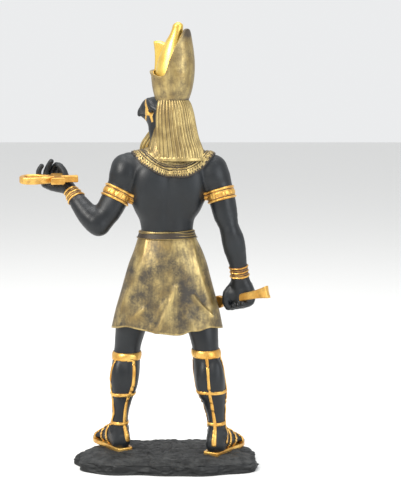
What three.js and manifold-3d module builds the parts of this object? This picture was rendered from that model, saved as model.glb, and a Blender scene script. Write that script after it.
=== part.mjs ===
// Falcon-headed god, a 300 mm cast figurine on its rock base, with an ankh and a sickle sword.
// Millimetres, +Z up. The figure faces -Y and its own left is +X.
// The origin is the centre of the base's flat underside.
import * as THREE from "three";
import { mergeVertices } from "three/addons/utils/BufferGeometryUtils.js";
import Module from "manifold-3d";

const wasm = await Module();
wasm.setup();

// Driving heights
const topOfCrown = 300;
const spikeTop = 295.5;
const crownSeam = 248.5;
const wigHem = 209;
const beltTop = 161.6;
const beltFoot = 157;
const kiltHem = 94.6;
const kneeBandTop = 78;
const baseTop = 9.6;

// Driving widths and angles
const headTurn = THREE.MathUtils.degToRad(60); // from straight ahead towards the left shoulder
const footTurn = THREE.MathUtils.degToRad(30); // each foot turns out by this much
const baseHalfLong = 64.3;
const baseHalfDeep = 34.5;
const baseMiddle = -0.9;
const fitGap = 0.35; // clearance round what the hands hold

// Finish of each sub-part
const resin = new THREE.MeshStandardMaterial({ color: 0x24282b, roughness: 0.45, metalness: 0 });
const gold = new THREE.MeshStandardMaterial({ color: 0xd0a24a, roughness: 0.35, metalness: 0.6 });
const agedGold = new THREE.MeshStandardMaterial({ color: 0xb08a45, roughness: 0.4, metalness: 0.6 });

const vec = (x, y, z) => new THREE.Vector3(x, y, z);
const mix = THREE.MathUtils.lerp;
const turn = Math.PI * 2;
const bump = (distance, width) => Math.exp(-((distance / width) ** 2));

// Turns a three.js geometry into a solid that can be cut and joined.
function solid(geometry) {
  const bare = geometry.clone();
  bare.deleteAttribute("normal");
  bare.deleteAttribute("uv");
  const merged = mergeVertices(bare, 1e-4);
  return new wasm.Manifold(new wasm.Mesh({
    numProp: 3,
    vertProperties: Float32Array.from(merged.attributes.position.array),
    triVerts: Uint32Array.from(merged.index.array),
  }));
}

function meshOf(name, body, material) {
  const { vertProperties, triVerts } = body.getMesh();
  const geometry = new THREE.BufferGeometry();
  geometry.setAttribute("position", new THREE.BufferAttribute(vertProperties, 3));
  geometry.setIndex(new THREE.BufferAttribute(triVerts, 1));
  geometry.computeVertexNormals();
  const mesh = new THREE.Mesh(geometry, material);
  mesh.name = name;
  return mesh;
}

const join = (bodies) => bodies.reduce((whole, body) => whole.add(body));

// A closed skin over a stack of rings with equal counts, its two ends capped by fans.
function skin(rings) {
  const count = rings[0].length;
  const points = rings.flat();
  const middle = (ring) => ring.reduce((sum, p) => sum.add(p), vec(0, 0, 0)).divideScalar(count);
  const start = points.push(middle(rings[0])) - 1;
  const end = points.push(middle(rings.at(-1))) - 1;
  const index = [];
  const lastRing = (rings.length - 1) * count;
  for (let j = 0; j < count; j++) {
    const next = (j + 1) % count;
    for (let i = 0; i < lastRing; i += count) {
      index.push(i + j, i + next, i + count + next, i + j, i + count + next, i + count + j);
    }
    index.push(start, next, j, end, lastRing + j, lastRing + next);
  }
  let volume = 0;
  for (let i = 0; i < index.length; i += 3) {
    const [a, b, c] = [points[index[i]], points[index[i + 1]], points[index[i + 2]]];
    volume += a.dot(b.clone().cross(c));
  }
  if (volume < 0) index.reverse();
  const geometry = new THREE.BufferGeometry();
  geometry.setAttribute("position", new THREE.Float32BufferAttribute(points.flatMap((p) => p.toArray()), 3));
  geometry.setIndex(index);
  return solid(geometry);
}

// Resamples rows of numbers along a smooth spline, so a form needs only its main sections.
function smooth(rows, steps) {
  const width = rows[0].length;
  const curves = [];
  for (let k = 0; k < width; k += 3) {
    const columns = rows.map((row) => vec(row[k], row[k + 1] ?? 0, row[k + 2] ?? 0));
    curves.push(new THREE.CatmullRomCurve3(columns, false, "catmullrom", 0.4));
  }
  return Array.from({ length: steps + 1 }, (_, i) =>
    curves.flatMap((curve) => curve.getPoint(i / steps).toArray()).slice(0, width));
}

// A limb through rows [x, y, z, half width, half depth]; `side` is the way the width runs.
function limb(rows, sides, side = vec(1, 0, 0)) {
  const path = rows.map(([x, y, z]) => vec(x, y, z));
  return skin(rows.map(([, , , wide, deep], i) => {
    const along = path[Math.min(i + 1, rows.length - 1)].clone().sub(path[Math.max(i - 1, 0)]).normalize();
    const across = side.clone().addScaledVector(along, -side.dot(along)).normalize();
    const through = along.clone().cross(across);
    return Array.from({ length: sides }, (_, j) => {
      const angle = (j / sides) * turn;
      return path[i].clone()
        .addScaledVector(across, wide * Math.cos(angle))
        .addScaledVector(through, deep * Math.sin(angle));
    });
  }));
}

// A level slice: rows are [z, x, y, half width, half depth], and shape(angle, z) scales each point.
function level([z, x, y, wide, deep], sides, shape = () => 1) {
  return Array.from({ length: sides }, (_, j) => {
    const angle = (j / sides) * turn;
    const scale = shape(angle, z);
    return vec(x + wide * scale * Math.cos(angle), y + deep * scale * Math.sin(angle), z);
  });
}

const stack = (rows, steps, sides, shape) =>
  skin(smooth(rows, steps).map((row) => level(row, sides, shape)));

// The section of a level form at a height, by straight steps between its rows
function sectionAt(rows, z) {
  const found = rows.findIndex((row, i) => i > 0 && (rows[0][0] - z) * (row[0] - z) <= 0);
  const [low, high] = [rows[found - 1], rows[found]];
  const part = (z - low[0]) / (high[0] - low[0]);
  return low.map((value, k) => mix(value, high[k], part));
}

// A flat piece drawn in its own plane, with a small bevel; `spare` grows it on every side.
function plate(shape, thick, bevel, frame, curveSegments, spare = 0) {
  const depth = thick + 2 * spare - 2 * bevel;
  const geometry = new THREE.ExtrudeGeometry(shape, {
    depth,
    bevelThickness: bevel,
    bevelSize: bevel,
    bevelOffset: spare - bevel,
    bevelSegments: 1,
    curveSegments,
  });
  return solid(geometry.translate(0, 0, -depth / 2).applyMatrix4(frame));
}

// Trunk, from the hidden hips up to the neck: [z, x, y, half width, half depth]
const trunkRows = [
  [152, -0.8, -1.0, 18.0, 11.5],
  [162, -0.8, -1.0, 17.4, 11.4],
  [170, -0.6, -1.0, 18.8, 12.2],
  [178, -0.8, -0.6, 21.6, 13.4],
  [186, -1.3, -0.4, 25.2, 14.6],
  [194, -1.8, -0.2, 28.0, 14.8],
  [202, -2.4, 0.2, 30.4, 13.8],
  [209, -3.0, 0.4, 29.6, 11.8],
  [213.5, -3.4, 0.6, 24.0, 10.4],
  [217, -3.6, 0.6, 14.0, 9.6],
  [223, -3.8, 0.6, 9.2, 9.0],
  [236, -4.2, 0.4, 9.0, 9.0],
];

// A furrow down the back between the flats of the shoulder blades
function trunkShape(angle) {
  const fromSpine = angle - Math.PI / 2;
  return 1 - 0.07 * bump(fromSpine, 0.16) + 0.03 * bump(Math.abs(fromSpine) - 0.55, 0.3);
}

function trunk() {
  return stack(trunkRows, 10, 18, trunkShape);
}

// Arms: [x, y, z, half width, half depth], from inside the shoulder to the elbow or the wrist
const leftUpperRows = [
  [21, -0.5, 206, 7.5, 8.0],
  [27.2, -0.3, 203.6, 10.4, 10.2],
  [29.8, 0.6, 192.6, 9.1, 9.2],
  [34.0, 2.4, 183, 9.0, 8.8],
  [38.6, 5.0, 174.6, 8.8, 8.2],
  [44.0, 7.0, 167.4, 7.6, 7.4],
  [46.6, 7.8, 162.8, 4.8, 5.0],
];
const leftForeRows = [
  [43.6, 7.8, 162.6, 4.6, 4.8],
  [46.4, 7.2, 166.4, 7.7, 7.4],
  [51.6, 4.6, 172.2, 8.1, 7.4],
  [57.6, 0.6, 179.4, 7.1, 6.3],
  [63.6, -4.4, 187.0, 5.3, 4.5],
  [67.0, -7.4, 190.4, 5.4, 4.4],
];
const rightArmRows = [
  [-26, -0.3, 206, 7.5, 8.0],
  [-31.6, -0.2, 202.6, 9.8, 10.0],
  [-35.4, 0.6, 191, 9.2, 9.4],
  [-38.6, 2.2, 180, 8.8, 8.8],
  [-41.6, 4.2, 169, 7.9, 7.8],
  [-44.2, 4.8, 157.5, 8.0, 7.6],
  [-46.8, 3.0, 147, 7.4, 6.8],
  [-49.2, 0.8, 137, 5.8, 5.0],
  [-50.2, -1.2, 126, 5.6, 4.8],
];
const leftArmSide = vec(0.5, 0, 0.5);
const rightArmSide = vec(1, 0, 0);
const cuffProud = [0, 1.1, 0.6, 0.6, 1.1, 0];
const bangleProud = [0, 0.9, 0.2, 0.9, 0.2, 0.9, 0];

// Rows down an arm, with raised bands [from, to, heights] set between shares of its length
function armWith(sections, steps, side, bands) {
  const fine = smooth(sections, steps * 4);
  const at = (share, proud) => {
    const place = share * steps * 4;
    const row = fine[Math.floor(place)].map((value, k) => mix(value, fine[Math.ceil(place)][k], place % 1));
    return [row[0], row[1], row[2], row[3] + proud, row[4] + proud];
  };
  const shares = Array.from({ length: steps + 1 }, (_, i) => i / steps);
  const rows = shares
    .filter((share) => bands.every(([from, to]) => share < from - 0.03 || share > to + 0.03))
    .map((share) => [share, 0]);
  bands.forEach(([from, to, heights]) => heights.forEach((proud, i) =>
    rows.push([mix(from, to, i / (heights.length - 1)), proud])));
  rows.sort((a, b) => a[0] - b[0]);
  return limb(rows.map(([share, proud]) => at(share, proud)), 10, side);
}

function arms() {
  return [
    armWith(leftUpperRows, 6, leftArmSide, [[0.38, 0.6, cuffProud]]),
    armWith(leftForeRows, 5, leftArmSide, [[0.7, 0.9, bangleProud]]),
    armWith(rightArmRows, 8, rightArmSide, [[0.235, 0.345, cuffProud], [0.87, 0.96, bangleProud]]),
  ];
}

// The head's own directions: ahead, sideways and up
const ahead = vec(Math.sin(headTurn), -Math.cos(headTurn), 0);
const aside = vec(Math.cos(headTurn), Math.sin(headTurn), 0);
const headAxis = vec(-4.5, 0.4, 0);
const inHead = (forward, sideways, z) =>
  headAxis.clone().addScaledVector(ahead, forward).addScaledVector(aside, sideways).setZ(z);

// Falcon head: [forward, mid height, half width, half height], from the nape to the beak's hook
const headRows = [
  [-8, 239, 7.5, 8.5],
  [-1, 240, 10.4, 11.5],
  [7, 240, 10.4, 11.8],
  [13, 240, 8.8, 11.4],
  [17, 240.2, 6.8, 10.4],
  [19.4, 241.8, 4.8, 7.6],
  [21.8, 241.2, 3.4, 4.9],
  [23.8, 240.4, 2.6, 3.5],
  [25.6, 239.2, 1.6, 2.5],
  [26.6, 237.4, 0.7, 1.2],
];

function head() {
  const sides = 12;
  return skin(headRows.map(([forward, z, wide, high]) => Array.from({ length: sides }, (_, j) => {
    const angle = (j / sides) * turn;
    return inHead(forward, wide * Math.cos(angle), z + high * Math.sin(angle));
  })));
}

// Striped wig: [z, x, y, half width, half depth], from the crown's seam to the hem on the back
const wigRows = [
  [249.6, -4.4, 0.5, 10.8, 10.8],
  [246, -4.9, 0.8, 12.4, 12.0],
  [240, -5.3, 1.2, 13.8, 12.8],
  [232, -6.0, 2.0, 14.6, 12.8],
  [224, -7.0, 3.2, 15.4, 12.0],
  [216, -8.4, 4.6, 16.9, 11.0],
  [wigHem, -9.0, 5.4, 17.6, 10.4],
];
const wigStripes = 20; // ribs from one side of the face round the back to the other
const stripeRelief = 0.035;
const faceOpening = THREE.MathUtils.degToRad(62); // half of what the wig leaves bare round the face
const chin = 222; // below it the wig closes round the throat

function wig() {
  const forward = Math.atan2(ahead.y, ahead.x);
  const bare = [-0.6, 0, 0.6].map((share) => [forward + share * faceOpening, 0.78]);
  const carved = Array.from({ length: wigStripes * 2 + 1 }, (_, i) => [
    forward + mix(faceOpening, turn - faceOpening, i / (wigStripes * 2)),
    1 - (i % 2) * stripeRelief,
  ]);
  return skin(smooth(wigRows, 6).map(([z, x, y, wide, deep]) => [...bare, ...carved].map(([angle, scale]) => {
    const reach = z > chin ? scale : Math.max(scale, 0.94);
    return vec(x + wide * reach * Math.cos(angle), y + deep * reach * Math.sin(angle), z);
  })));
}

// Lappets: the wig's two front tails, over the collar and down the chest
function lappets() {
  const chestMiddle = -3.4;
  return [1, -1].map((hand) => limb([
    [chestMiddle + 9.5 * hand, -5.5, 236, 4.6, 3.0],
    [chestMiddle + 12.5 * hand, -8.5, 226, 5.6, 3.0],
    [chestMiddle + 15 * hand, -11.0, 217, 6.4, 2.8],
    [chestMiddle + 14.6 * hand, -13.6, 207, 6.4, 2.6],
    [chestMiddle + 12.6 * hand, -15.2, 196, 6.0, 2.4],
    [chestMiddle + 11.6 * hand, -15.6, 187, 5.6, 2.2],
  ], 8));
}

// Broad collar: the skin of trunk and shoulders raised inside an egg round the neck
function collar() {
  const proud = 1.5;
  const raised = ([x, y, z, wide, deep]) => [x, y, z + proud * 0.6, wide + proud, deep + proud];
  const rows = trunkRows.slice(4).map(([z, x, y, wide, deep]) =>
    [z + proud * 0.6, x, y, wide + proud, deep + proud]);
  const egg = new THREE.SphereGeometry(1, 14, 9).rotateX(Math.PI / 2).scale(29.6, 29, 27.6).rotateY(0.1);
  return join([
    stack(rows, 7, 18, trunkShape),
    limb(leftUpperRows.slice(0, 3).map(raised), 10, leftArmSide),
    limb(rightArmRows.slice(0, 3).map(raised), 10, rightArmSide),
  ]).intersect(solid(egg.translate(-5.4, -2.4, 222)));
}

// Double crown
const crownAxis = (z) => vec(mix(-4.5, -5.8, (z - crownSeam) / 48), mix(0.3, 1.0, (z - crownSeam) / 48), z);
const cupRows = [ // [z, radius] of the outer red crown
  [crownSeam, 10.9],
  [254, 12.7],
  [261, 14.0],
  [268, 14.5],
  [275, 14.3],
  [282, 13.4],
  [289, 12.1],
  [spikeTop, 10.8],
];
const cupSideTop = 264.5;
const cupFrontTop = 268.6;
const cupWall = 1.8;
const cupFloor = 258;

function cupRadius(z) {
  return sectionAt(cupRows, z)[1];
}

// The cup's top edge: level round the front and sides, then a leaf rising to the spike at the back
function cupTop(fromFace) {
  const sideAngle = THREE.MathUtils.degToRad(90);
  if (fromFace < sideAngle) return mix(cupFrontTop, cupSideTop, Math.sin(fromFace) ** 2);
  const share = (fromFace - sideAngle) / (Math.PI - sideAngle);
  return cupSideTop + (spikeTop - cupSideTop) * share ** 0.72;
}

function redCrown() {
  const sides = 24;
  const ringAt = (heightOf, inset, flare) => Array.from({ length: sides }, (_, j) => {
    const angle = (j / sides) * turn; // 0 is the face side
    const fromFace = Math.abs(Math.atan2(Math.sin(angle), Math.cos(angle)));
    const z = heightOf(cupTop(fromFace));
    const radius = cupRadius(z) - inset + flare * Math.max(0, Math.cos(fromFace));
    return crownAxis(z)
      .addScaledVector(ahead, radius * Math.cos(angle))
      .addScaledVector(aside, radius * Math.sin(angle));
  });
  const rising = [0, 0.28, 0.56, 0.8, 0.93];
  const rings = rising.map((share) => ringAt((top) => mix(crownSeam, top, share), 0, 0));
  rings.push(ringAt((top) => top, 0, 1.1));
  rings.push(ringAt((top) => top, cupWall, 0));
  rings.push(ringAt((top) => mix(cupFloor, top, 0.5), cupWall + 0.4, 0));
  rings.push(ringAt(() => cupFloor, cupWall + 1, 0));
  return skin(rings);
}

const bulbRows = [ // [z, x, y, half width, half depth] of the white crown
  [256, -4.7, 0.4, 11.0, 11.0],
  [264, -4.8, 0.4, 11.6, 11.6],
  [272, -5.1, 0.5, 10.8, 10.8],
  [280, -5.6, 0.7, 8.8, 8.8],
  [287, -6.4, 1.1, 6.4, 6.4],
  [291.5, -7.3, 1.6, 4.6, 4.6],
  [295.5, -8.1, 2.0, 3.7, 3.7],
  [298.4, -8.5, 2.2, 3.2, 3.2],
  [topOfCrown, -8.6, 2.2, 1.0, 1.0],
];

function whiteCrown() {
  return stack(bulbRows, 8, 12);
}

// The red crown's curl, cast as a web that stands ahead of the bulb and hooks forward at its top
function curl() {
  const thick = 4.4;
  const side = new THREE.Shape();
  side.moveTo(2, 262);
  side.lineTo(14.6, 264);
  side.quadraticCurveTo(12.2, 277, 14.6, 287.4);
  side.quadraticCurveTo(11, 288.6, 7.2, 286.8);
  side.lineTo(2, 286);
  const axis = crownAxis(276);
  const frame = new THREE.Matrix4().makeBasis(ahead, vec(0, 0, 1), ahead.clone().cross(vec(0, 0, 1)));
  return plate(side, thick, 0.7, frame.setPosition(axis.x, axis.y, 0), 5);
}

// Kilt: [z, x, y, half width, half depth] from belt to hem
const kiltRows = [
  [beltTop, -0.7, -0.8, 17.6, 11.8],
  [156, -0.8, -0.6, 19.8, 13.2],
  [148, -1.4, -0.2, 23.0, 15.6],
  [139, -1.3, 0.0, 26.4, 17.6],
  [130, -1.1, -0.4, 28.9, 19.0],
  [120, -1.0, -1.0, 31.6, 20.2],
  [108, -0.8, -1.6, 35.0, 21.6],
  [kiltHem, -0.6, -2.0, 38.0, 22.6],
];
const kiltFolds = [ // [angle at the belt, angle at the hem, depth] of each hanging fold, in degrees
  [112, 99, 0.9],
  [96, 128, -0.7],
  [128, 151, 0.8],
  [70, 76, -0.6],
  [62, 52, 0.8],
  [40, 27, 0.7],
  [20, 8, -0.6],
  [158, 172, -0.6],
];

function kiltShape(angle, z) {
  const fall = (beltTop - z) / (beltTop - kiltHem);
  const degrees = THREE.MathUtils.radToDeg(angle);
  if (degrees > 185 && degrees < 355) return 1 + 0.012 * fall * Math.sin(angle * 26);
  const relief = kiltFolds.reduce((sum, [top, hem, depth]) =>
    sum + depth * bump(degrees - mix(top, hem, fall), mix(5, 8, fall)), 0);
  return 1 + 0.042 * relief * Math.sqrt(Math.max(fall, 0));
}

// The gold apron that hangs from the belt in front
function apron() {
  return limb([
    [-0.6, -12.6, 160, 5.0, 1.6],
    [-0.6, -16.4, 146, 6.4, 1.8],
    [-0.6, -20.0, 128, 8.4, 2.0],
    [-0.6, -23.4, 108, 10.8, 2.2],
    [-0.6, -24.6, 92, 12.4, 2.2],
  ], 8);
}

function kilt() {
  const belt = skin([[beltFoot - 0.2, 0.2], [beltFoot + 0.3, 1.2], [beltTop - 0.3, 1.2], [beltTop, 0.2]]
    .map(([z, proud]) => {
      const [, x, y, wide, deep] = sectionAt(kiltRows, z);
      return level([z, x, y, wide + proud, deep + proud], 22);
    }));
  return [stack(kiltRows, 6, 42, kiltShape), belt, apron()];
}

// Legs: [z, x, y, half width, half depth], from inside the kilt to the ankle
const leftLegRows = [
  [110, 21.0, -3.0, 12.5, 12.5],
  [97, 23.6, -4.0, 11.2, 12.0],
  [88, 25.2, -5.0, 9.8, 10.8],
  [80, 26.6, -5.4, 9.0, 10.0],
  [72, 27.4, -4.6, 9.6, 10.6],
  [62, 28.3, -3.4, 10.2, 11.2],
  [52, 29.3, -3.2, 8.9, 9.8],
  [43, 30.8, -3.8, 6.9, 7.6],
  [34, 31.9, -4.4, 5.7, 6.4],
  [27, 32.4, -4.8, 5.7, 6.6],
  [11, 32.6, -5.0, 5.6, 6.6],
];
const rightLegRows = [
  [110, -21.6, 1.4, 12.5, 12.5],
  [97, -24.4, 1.8, 11.2, 12.0],
  [88, -25.8, 2.2, 9.6, 10.8],
  [80, -26.9, 3.0, 8.9, 10.0],
  [72, -28.1, 4.4, 9.7, 10.8],
  [62, -29.4, 6.0, 10.8, 11.6],
  [52, -31.1, 6.4, 9.8, 10.2],
  [43, -32.8, 6.2, 7.5, 8.0],
  [34, -33.9, 6.0, 5.9, 6.6],
  [27, -34.4, 6.0, 6.0, 6.8],
  [11, -34.6, 6.0, 5.8, 6.8],
];
const laceWide = 3.0;
const laceProud = 0.8;
const laceRings = [49, 28]; // mid heights of the two rings that tie the laces
const kneeBandWide = 6;
const edgeWide = 0.5; // how far a raised edge takes to rise

// A leg whose skin rises in a knee band, two rings and the laces that run down it
function lacedLeg(rows, laceAngles) {
  const rises = [[kneeBandTop - kneeBandWide / 2, kneeBandWide / 2]];
  laceRings.forEach((z) => rises.push([z, laceWide / 2]));
  const raisedHeights = rises.flatMap(([z, half]) =>
    [[z - half - edgeWide, 0], [z - half, 1], [z + half, 1], [z + half + edgeWide, 0]]);
  const plainHeights = [102, 87, 62, 12].map((z) => [z, 0]);
  const heights = [...raisedHeights, ...plainHeights].sort((a, b) => b[0] - a[0]);
  const half = laceWide / 2 / 8; // as an angle on a leg of about 8 mm half width
  const gap = edgeWide / 8;
  const columns = laceAngles.flatMap((degrees) => {
    const angle = THREE.MathUtils.degToRad(degrees);
    return [[-half - gap, 0], [-half, 1], [half, 1], [half + gap, 0], [turn / 8, 0]]
      .map(([step, raised]) => [angle + step, raised]);
  }).sort((a, b) => a[0] - b[0]);
  return skin(heights.map(([z, ring]) => {
    const [, x, y, wide, deep] = sectionAt(rows, z);
    return columns.map(([angle, laced]) => {
      const proud = laceProud * Math.max(ring, z < kneeBandTop ? laced : 0);
      return vec(x + (wide + proud) * Math.cos(angle), y + (deep + proud) * Math.sin(angle), z);
    });
  }));
}

// A foot in its sandal, turned out from the ankle
function foot(ankle, hand) {
  const toes = vec(Math.sin(footTurn) * hand, -Math.cos(footTurn), 0);
  const across = vec(Math.cos(footTurn), Math.sin(footTurn) * hand, 0);
  const soleThick = 1.9;
  const soleTop = baseTop + soleThick;
  const sunk = 1.2; // how deep the sole is cast into the rock
  const footRows = [ // [ahead of the ankle, half width, height over the sole]
    [-8.2, 3.0, 7],
    [-6.6, 4.8, 12],
    [0, 5.8, 17],
    [8, 6.2, 14.2],
    [15, 6.8, 10.8],
    [22, 7.2, 8.2],
    [27, 6.4, 6.6],
    [29.6, 4.2, 4.0],
  ];
  const arch = (forward, wide, high, sides, under) => Array.from({ length: sides }, (_, j) => {
    const angle = (j / sides) * turn;
    const lift = Math.sin(angle) > 0 ? high * Math.sin(angle) : under * Math.sin(angle);
    return ankle.clone()
      .addScaledVector(toes, forward)
      .addScaledVector(across, wide * Math.cos(angle))
      .setZ(soleTop + lift);
  });
  const body = skin(footRows.map(([forward, wide, high]) => arch(forward, wide, high, 8, 0.6)));
  const outline = new THREE.Shape();
  outline.moveTo(-9.4, 0);
  outline.bezierCurveTo(-9.4, 7.4, 2, 5.8, 9, 6.8);
  outline.bezierCurveTo(18, 8.2, 32, 10.6, 32, 0);
  outline.bezierCurveTo(32, -9.4, 18, -8.6, 9, -6.6);
  outline.bezierCurveTo(2, -5.6, -9.4, -7.4, -9.4, 0);
  const sole = new THREE.ExtrudeGeometry(outline, {
    depth: soleThick + sunk,
    bevelEnabled: false,
    curveSegments: 4,
  });
  const frame = new THREE.Matrix4().makeBasis(toes, vec(0, 0, 1).cross(toes), vec(0, 0, 1));
  frame.setPosition(ankle.x, ankle.y, baseTop - sunk);
  const straps = [[10, 6.4, 13.3], [19, 7.0, 9.4]].map(([forward, wide, high]) =>
    skin([-laceWide / 2, laceWide / 2].map((step) =>
      arch(forward + step, wide + laceProud, high - 0.18 * step + laceProud, 8, 0.5))));
  return [body, solid(sole.applyMatrix4(frame)), ...straps];
}

const leg = (rows, hand, laceAngles) =>
  [lacedLeg(rows, laceAngles), ...foot(vec(rows.at(-1)[1], rows.at(-1)[2], 0), hand)];

// Rock base: a low ledge with a broken edge
function rockBase() {
  const sides = 34;
  const squareness = 2.9;
  const edge = (angle) => 1 + 0.035 * Math.sin(angle * 3 + 0.6) + 0.025 * Math.sin(angle * 7 + 2)
    + 0.018 * Math.sin(angle * 13 + 1);
  const rings = [[0, 0.985], [2.4, 1.0], [5.2, 0.99], [7.0, 0.955], [8.2, 0.88], [baseTop, 0.8]];
  return skin(rings.map(([z, spread], i) => Array.from({ length: sides }, (_, j) => {
    const angle = (j / sides) * turn;
    const ledge = i > 0 ? 0.012 * Math.sin(angle * 9 + i * 2.1) : 0;
    const reach = spread * (edge(angle) + ledge) / 1.045;
    const squared = 1 / (Math.abs(Math.cos(angle)) ** squareness + Math.abs(Math.sin(angle)) ** squareness)
      ** (1 / squareness);
    return vec(
      baseMiddle + baseHalfLong * reach * squared * Math.cos(angle),
      baseHalfDeep * reach * squared * Math.sin(angle),
      z);
  })));
}

// A finger through its joints [x, y, z], a little thinner at each
function finger(joints, thick) {
  const rows = joints.map((joint, i) => [...joint, thick * (1 - 0.07 * i), thick * (1 - 0.07 * i)]);
  return limb(rows, 5, vec(0.4, 0.7, 0.5));
}

// The open left hand: palm under the ankh, fingers curling up beyond it, thumb beside its stem
function leftHand() {
  return [
    limb([
      [66.0, -7.4, 189.4, 5.0, 4.2],
      [70.2, -9.8, 189.8, 5.8, 4.4],
      [76.0, -12.0, 190.4, 6.6, 4.0],
      [81.6, -13.4, 191.6, 5.8, 3.2],
    ], 8, vec(0.3, 0.9, 0)),
    finger([[80, -12.4, 191], [86, -13.2, 195], [86.4, -13.6, 200], [84, -13.8, 204.2]], 2.1),
    finger([[79, -14.4, 191], [82.8, -16.0, 197], [80.6, -16.4, 203.4], [77.8, -15.6, 207.4]], 2.2),
    finger([[76, -17.2, 191], [79.6, -19.4, 197], [78.2, -19.4, 202.6], [75.6, -18.4, 205.4]], 2.0),
    finger([[66, -9.4, 191], [67.2, -9.6, 197.4], [69.8, -10.8, 202], [72.6, -12.0, 205.6]], 2.4),
  ];
}

// The sword's own directions: its grip slopes down and forward from behind the right hand
const gripAt = vec(-47.4, 0.3, 115.0);
const gripAhead = vec(0.732, -0.628, -0.265).normalize();
const gripOut = gripAhead.clone().cross(vec(0, 0, 1)).normalize(); // towards the knuckles
const gripUp = gripOut.clone().cross(gripAhead);
const onGrip = (along, up, out) => gripAt.clone()
  .addScaledVector(gripAhead, along).addScaledVector(gripUp, up).addScaledVector(gripOut, out).toArray();

// The right fist, closed round the grip, knuckles outward
function rightHand() {
  const through = (places, thick) => finger(places.map((place) => onGrip(...place)), thick);
  const curl = [[7, 8], [0.6, 9.8], [-4.6, 6], [-5.2, 0.4], [-4.8, -2.4]]; // up and out from the grip
  const fingers = [-7, -2.8, 1.4, 5.6].map((along) => through(curl.map((place) => [along, ...place]), 2.6));
  return [
    limb([
      [-50.2, -1.2, 128, 5.6, 4.8],
      [-50.4, -2.0, 124, 6.6, 5.4],
      [-50.8, -3.0, 119, 8.8, 7.0],
      [-50.4, -3.0, 113, 8.6, 7.0],
      [-50.0, -2.6, 110.2, 7.0, 5.0],
    ], 10, gripAhead),
    ...fingers,
    through([[3, 9, 2], [5.4, 4.4, -3.6], [6.8, -1.4, -4.6], [6.6, -5.2, -2.6]], 3.0),
  ];
}

// The sword: a flat grip that flares to a guard in front and a pommel behind, and a sickle blade
function khopesh(spare = 0) {
  const grip = new THREE.Shape();
  grip.moveTo(-28.6, -4.2);
  grip.quadraticCurveTo(-20, -2.6, -12, -2.6);
  grip.lineTo(11.4, -2.6);
  grip.quadraticCurveTo(13.8, -4.8, 17.2, -4.2);
  grip.lineTo(17.2, 4.2);
  grip.quadraticCurveTo(13.8, 4.8, 11.4, 2.6);
  grip.lineTo(-12, 2.6);
  grip.quadraticCurveTo(-20, 2.6, -28.6, 4.2);
  grip.quadraticCurveTo(-27.4, 0, -28.6, -4.2);
  const blade = new THREE.Shape();
  blade.moveTo(16, -2.2);
  blade.lineTo(26, -2.4);
  blade.bezierCurveTo(32, -12, 54, -15, 63, 3);
  blade.bezierCurveTo(56, -5, 41, -6, 34, 0.2);
  blade.quadraticCurveTo(30, 3.4, 16, 2.2);
  const frame = new THREE.Matrix4().makeBasis(gripAhead, gripUp, gripOut).setPosition(gripAt);
  return plate(grip, 4.2, 0.9, frame, 3, spare).add(plate(blade, 2.4, 0.6, frame, 5, spare));
}

// The ankh lies across the open hand, its near edge a little low
const ankhAt = vec(72.4, -1.6, 196.0);
const ankhThick = 4.7;

function ankh(spare = 0) {
  const outline = new THREE.Shape();
  outline.moveTo(-13.6, -3.6);
  outline.quadraticCurveTo(-8, -2.2, -2.6, -2.4);
  outline.quadraticCurveTo(-3.2, -5.6, -4.8, -9.4);
  outline.lineTo(4.8, -9.4);
  outline.quadraticCurveTo(3.2, -5.6, 2.6, -2.6);
  outline.bezierCurveTo(8, -5.4, 11, -7.8, 17, -7.8);
  outline.bezierCurveTo(28.6, -7.8, 28.6, 7.8, 17, 7.8);
  outline.bezierCurveTo(11, 7.8, 8, 5.4, 2.6, 2.6);
  outline.quadraticCurveTo(3.2, 5.6, 4.8, 9.4);
  outline.lineTo(-4.8, 9.4);
  outline.quadraticCurveTo(-3.2, 5.6, -2.6, 2.4);
  outline.quadraticCurveTo(-8, 2.2, -13.6, 3.6);
  const eye = new THREE.Path();
  eye.moveTo(6.4, 0);
  eye.bezierCurveTo(11, 3.2, 13, 4.6, 17, 4.6);
  eye.bezierCurveTo(23.8, 4.6, 23.8, -4.6, 17, -4.6);
  eye.bezierCurveTo(13, -4.6, 11, -3.2, 6.4, 0);
  outline.holes.push(eye);
  const frame = new THREE.Matrix4().makeRotationFromEuler(new THREE.Euler(-0.09, 0, 0.1, "XYZ"));
  return plate(outline, ankhThick, 0.6, frame.setPosition(ankhAt), 3, spare);
}

const figure = new THREE.Group();
const legs = join([
  ...leg(rightLegRows, -1, [-76, 14, 104, 194]),
  ...leg(leftLegRows, 1, [-21, 69, 159, 249]),
]);
const middle = join([trunk(), ...kilt(), collar()]);
const top = join([head(), wig(), ...lappets(), redCrown(), whiteCrown(), curl()]);
const limbs = join([...arms(), ...leftHand(), ...rightHand()]);
const casting = join([rockBase(), legs, middle, top, limbs])
  .subtract(khopesh(fitGap))
  .subtract(ankh(fitGap));

figure.add(meshOf("figure_and_rock_base", casting, resin));
figure.add(meshOf("ankh", ankh(), gold));
figure.add(meshOf("khopesh", khopesh(), agedGold));

export default figure;
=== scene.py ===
import math

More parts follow.
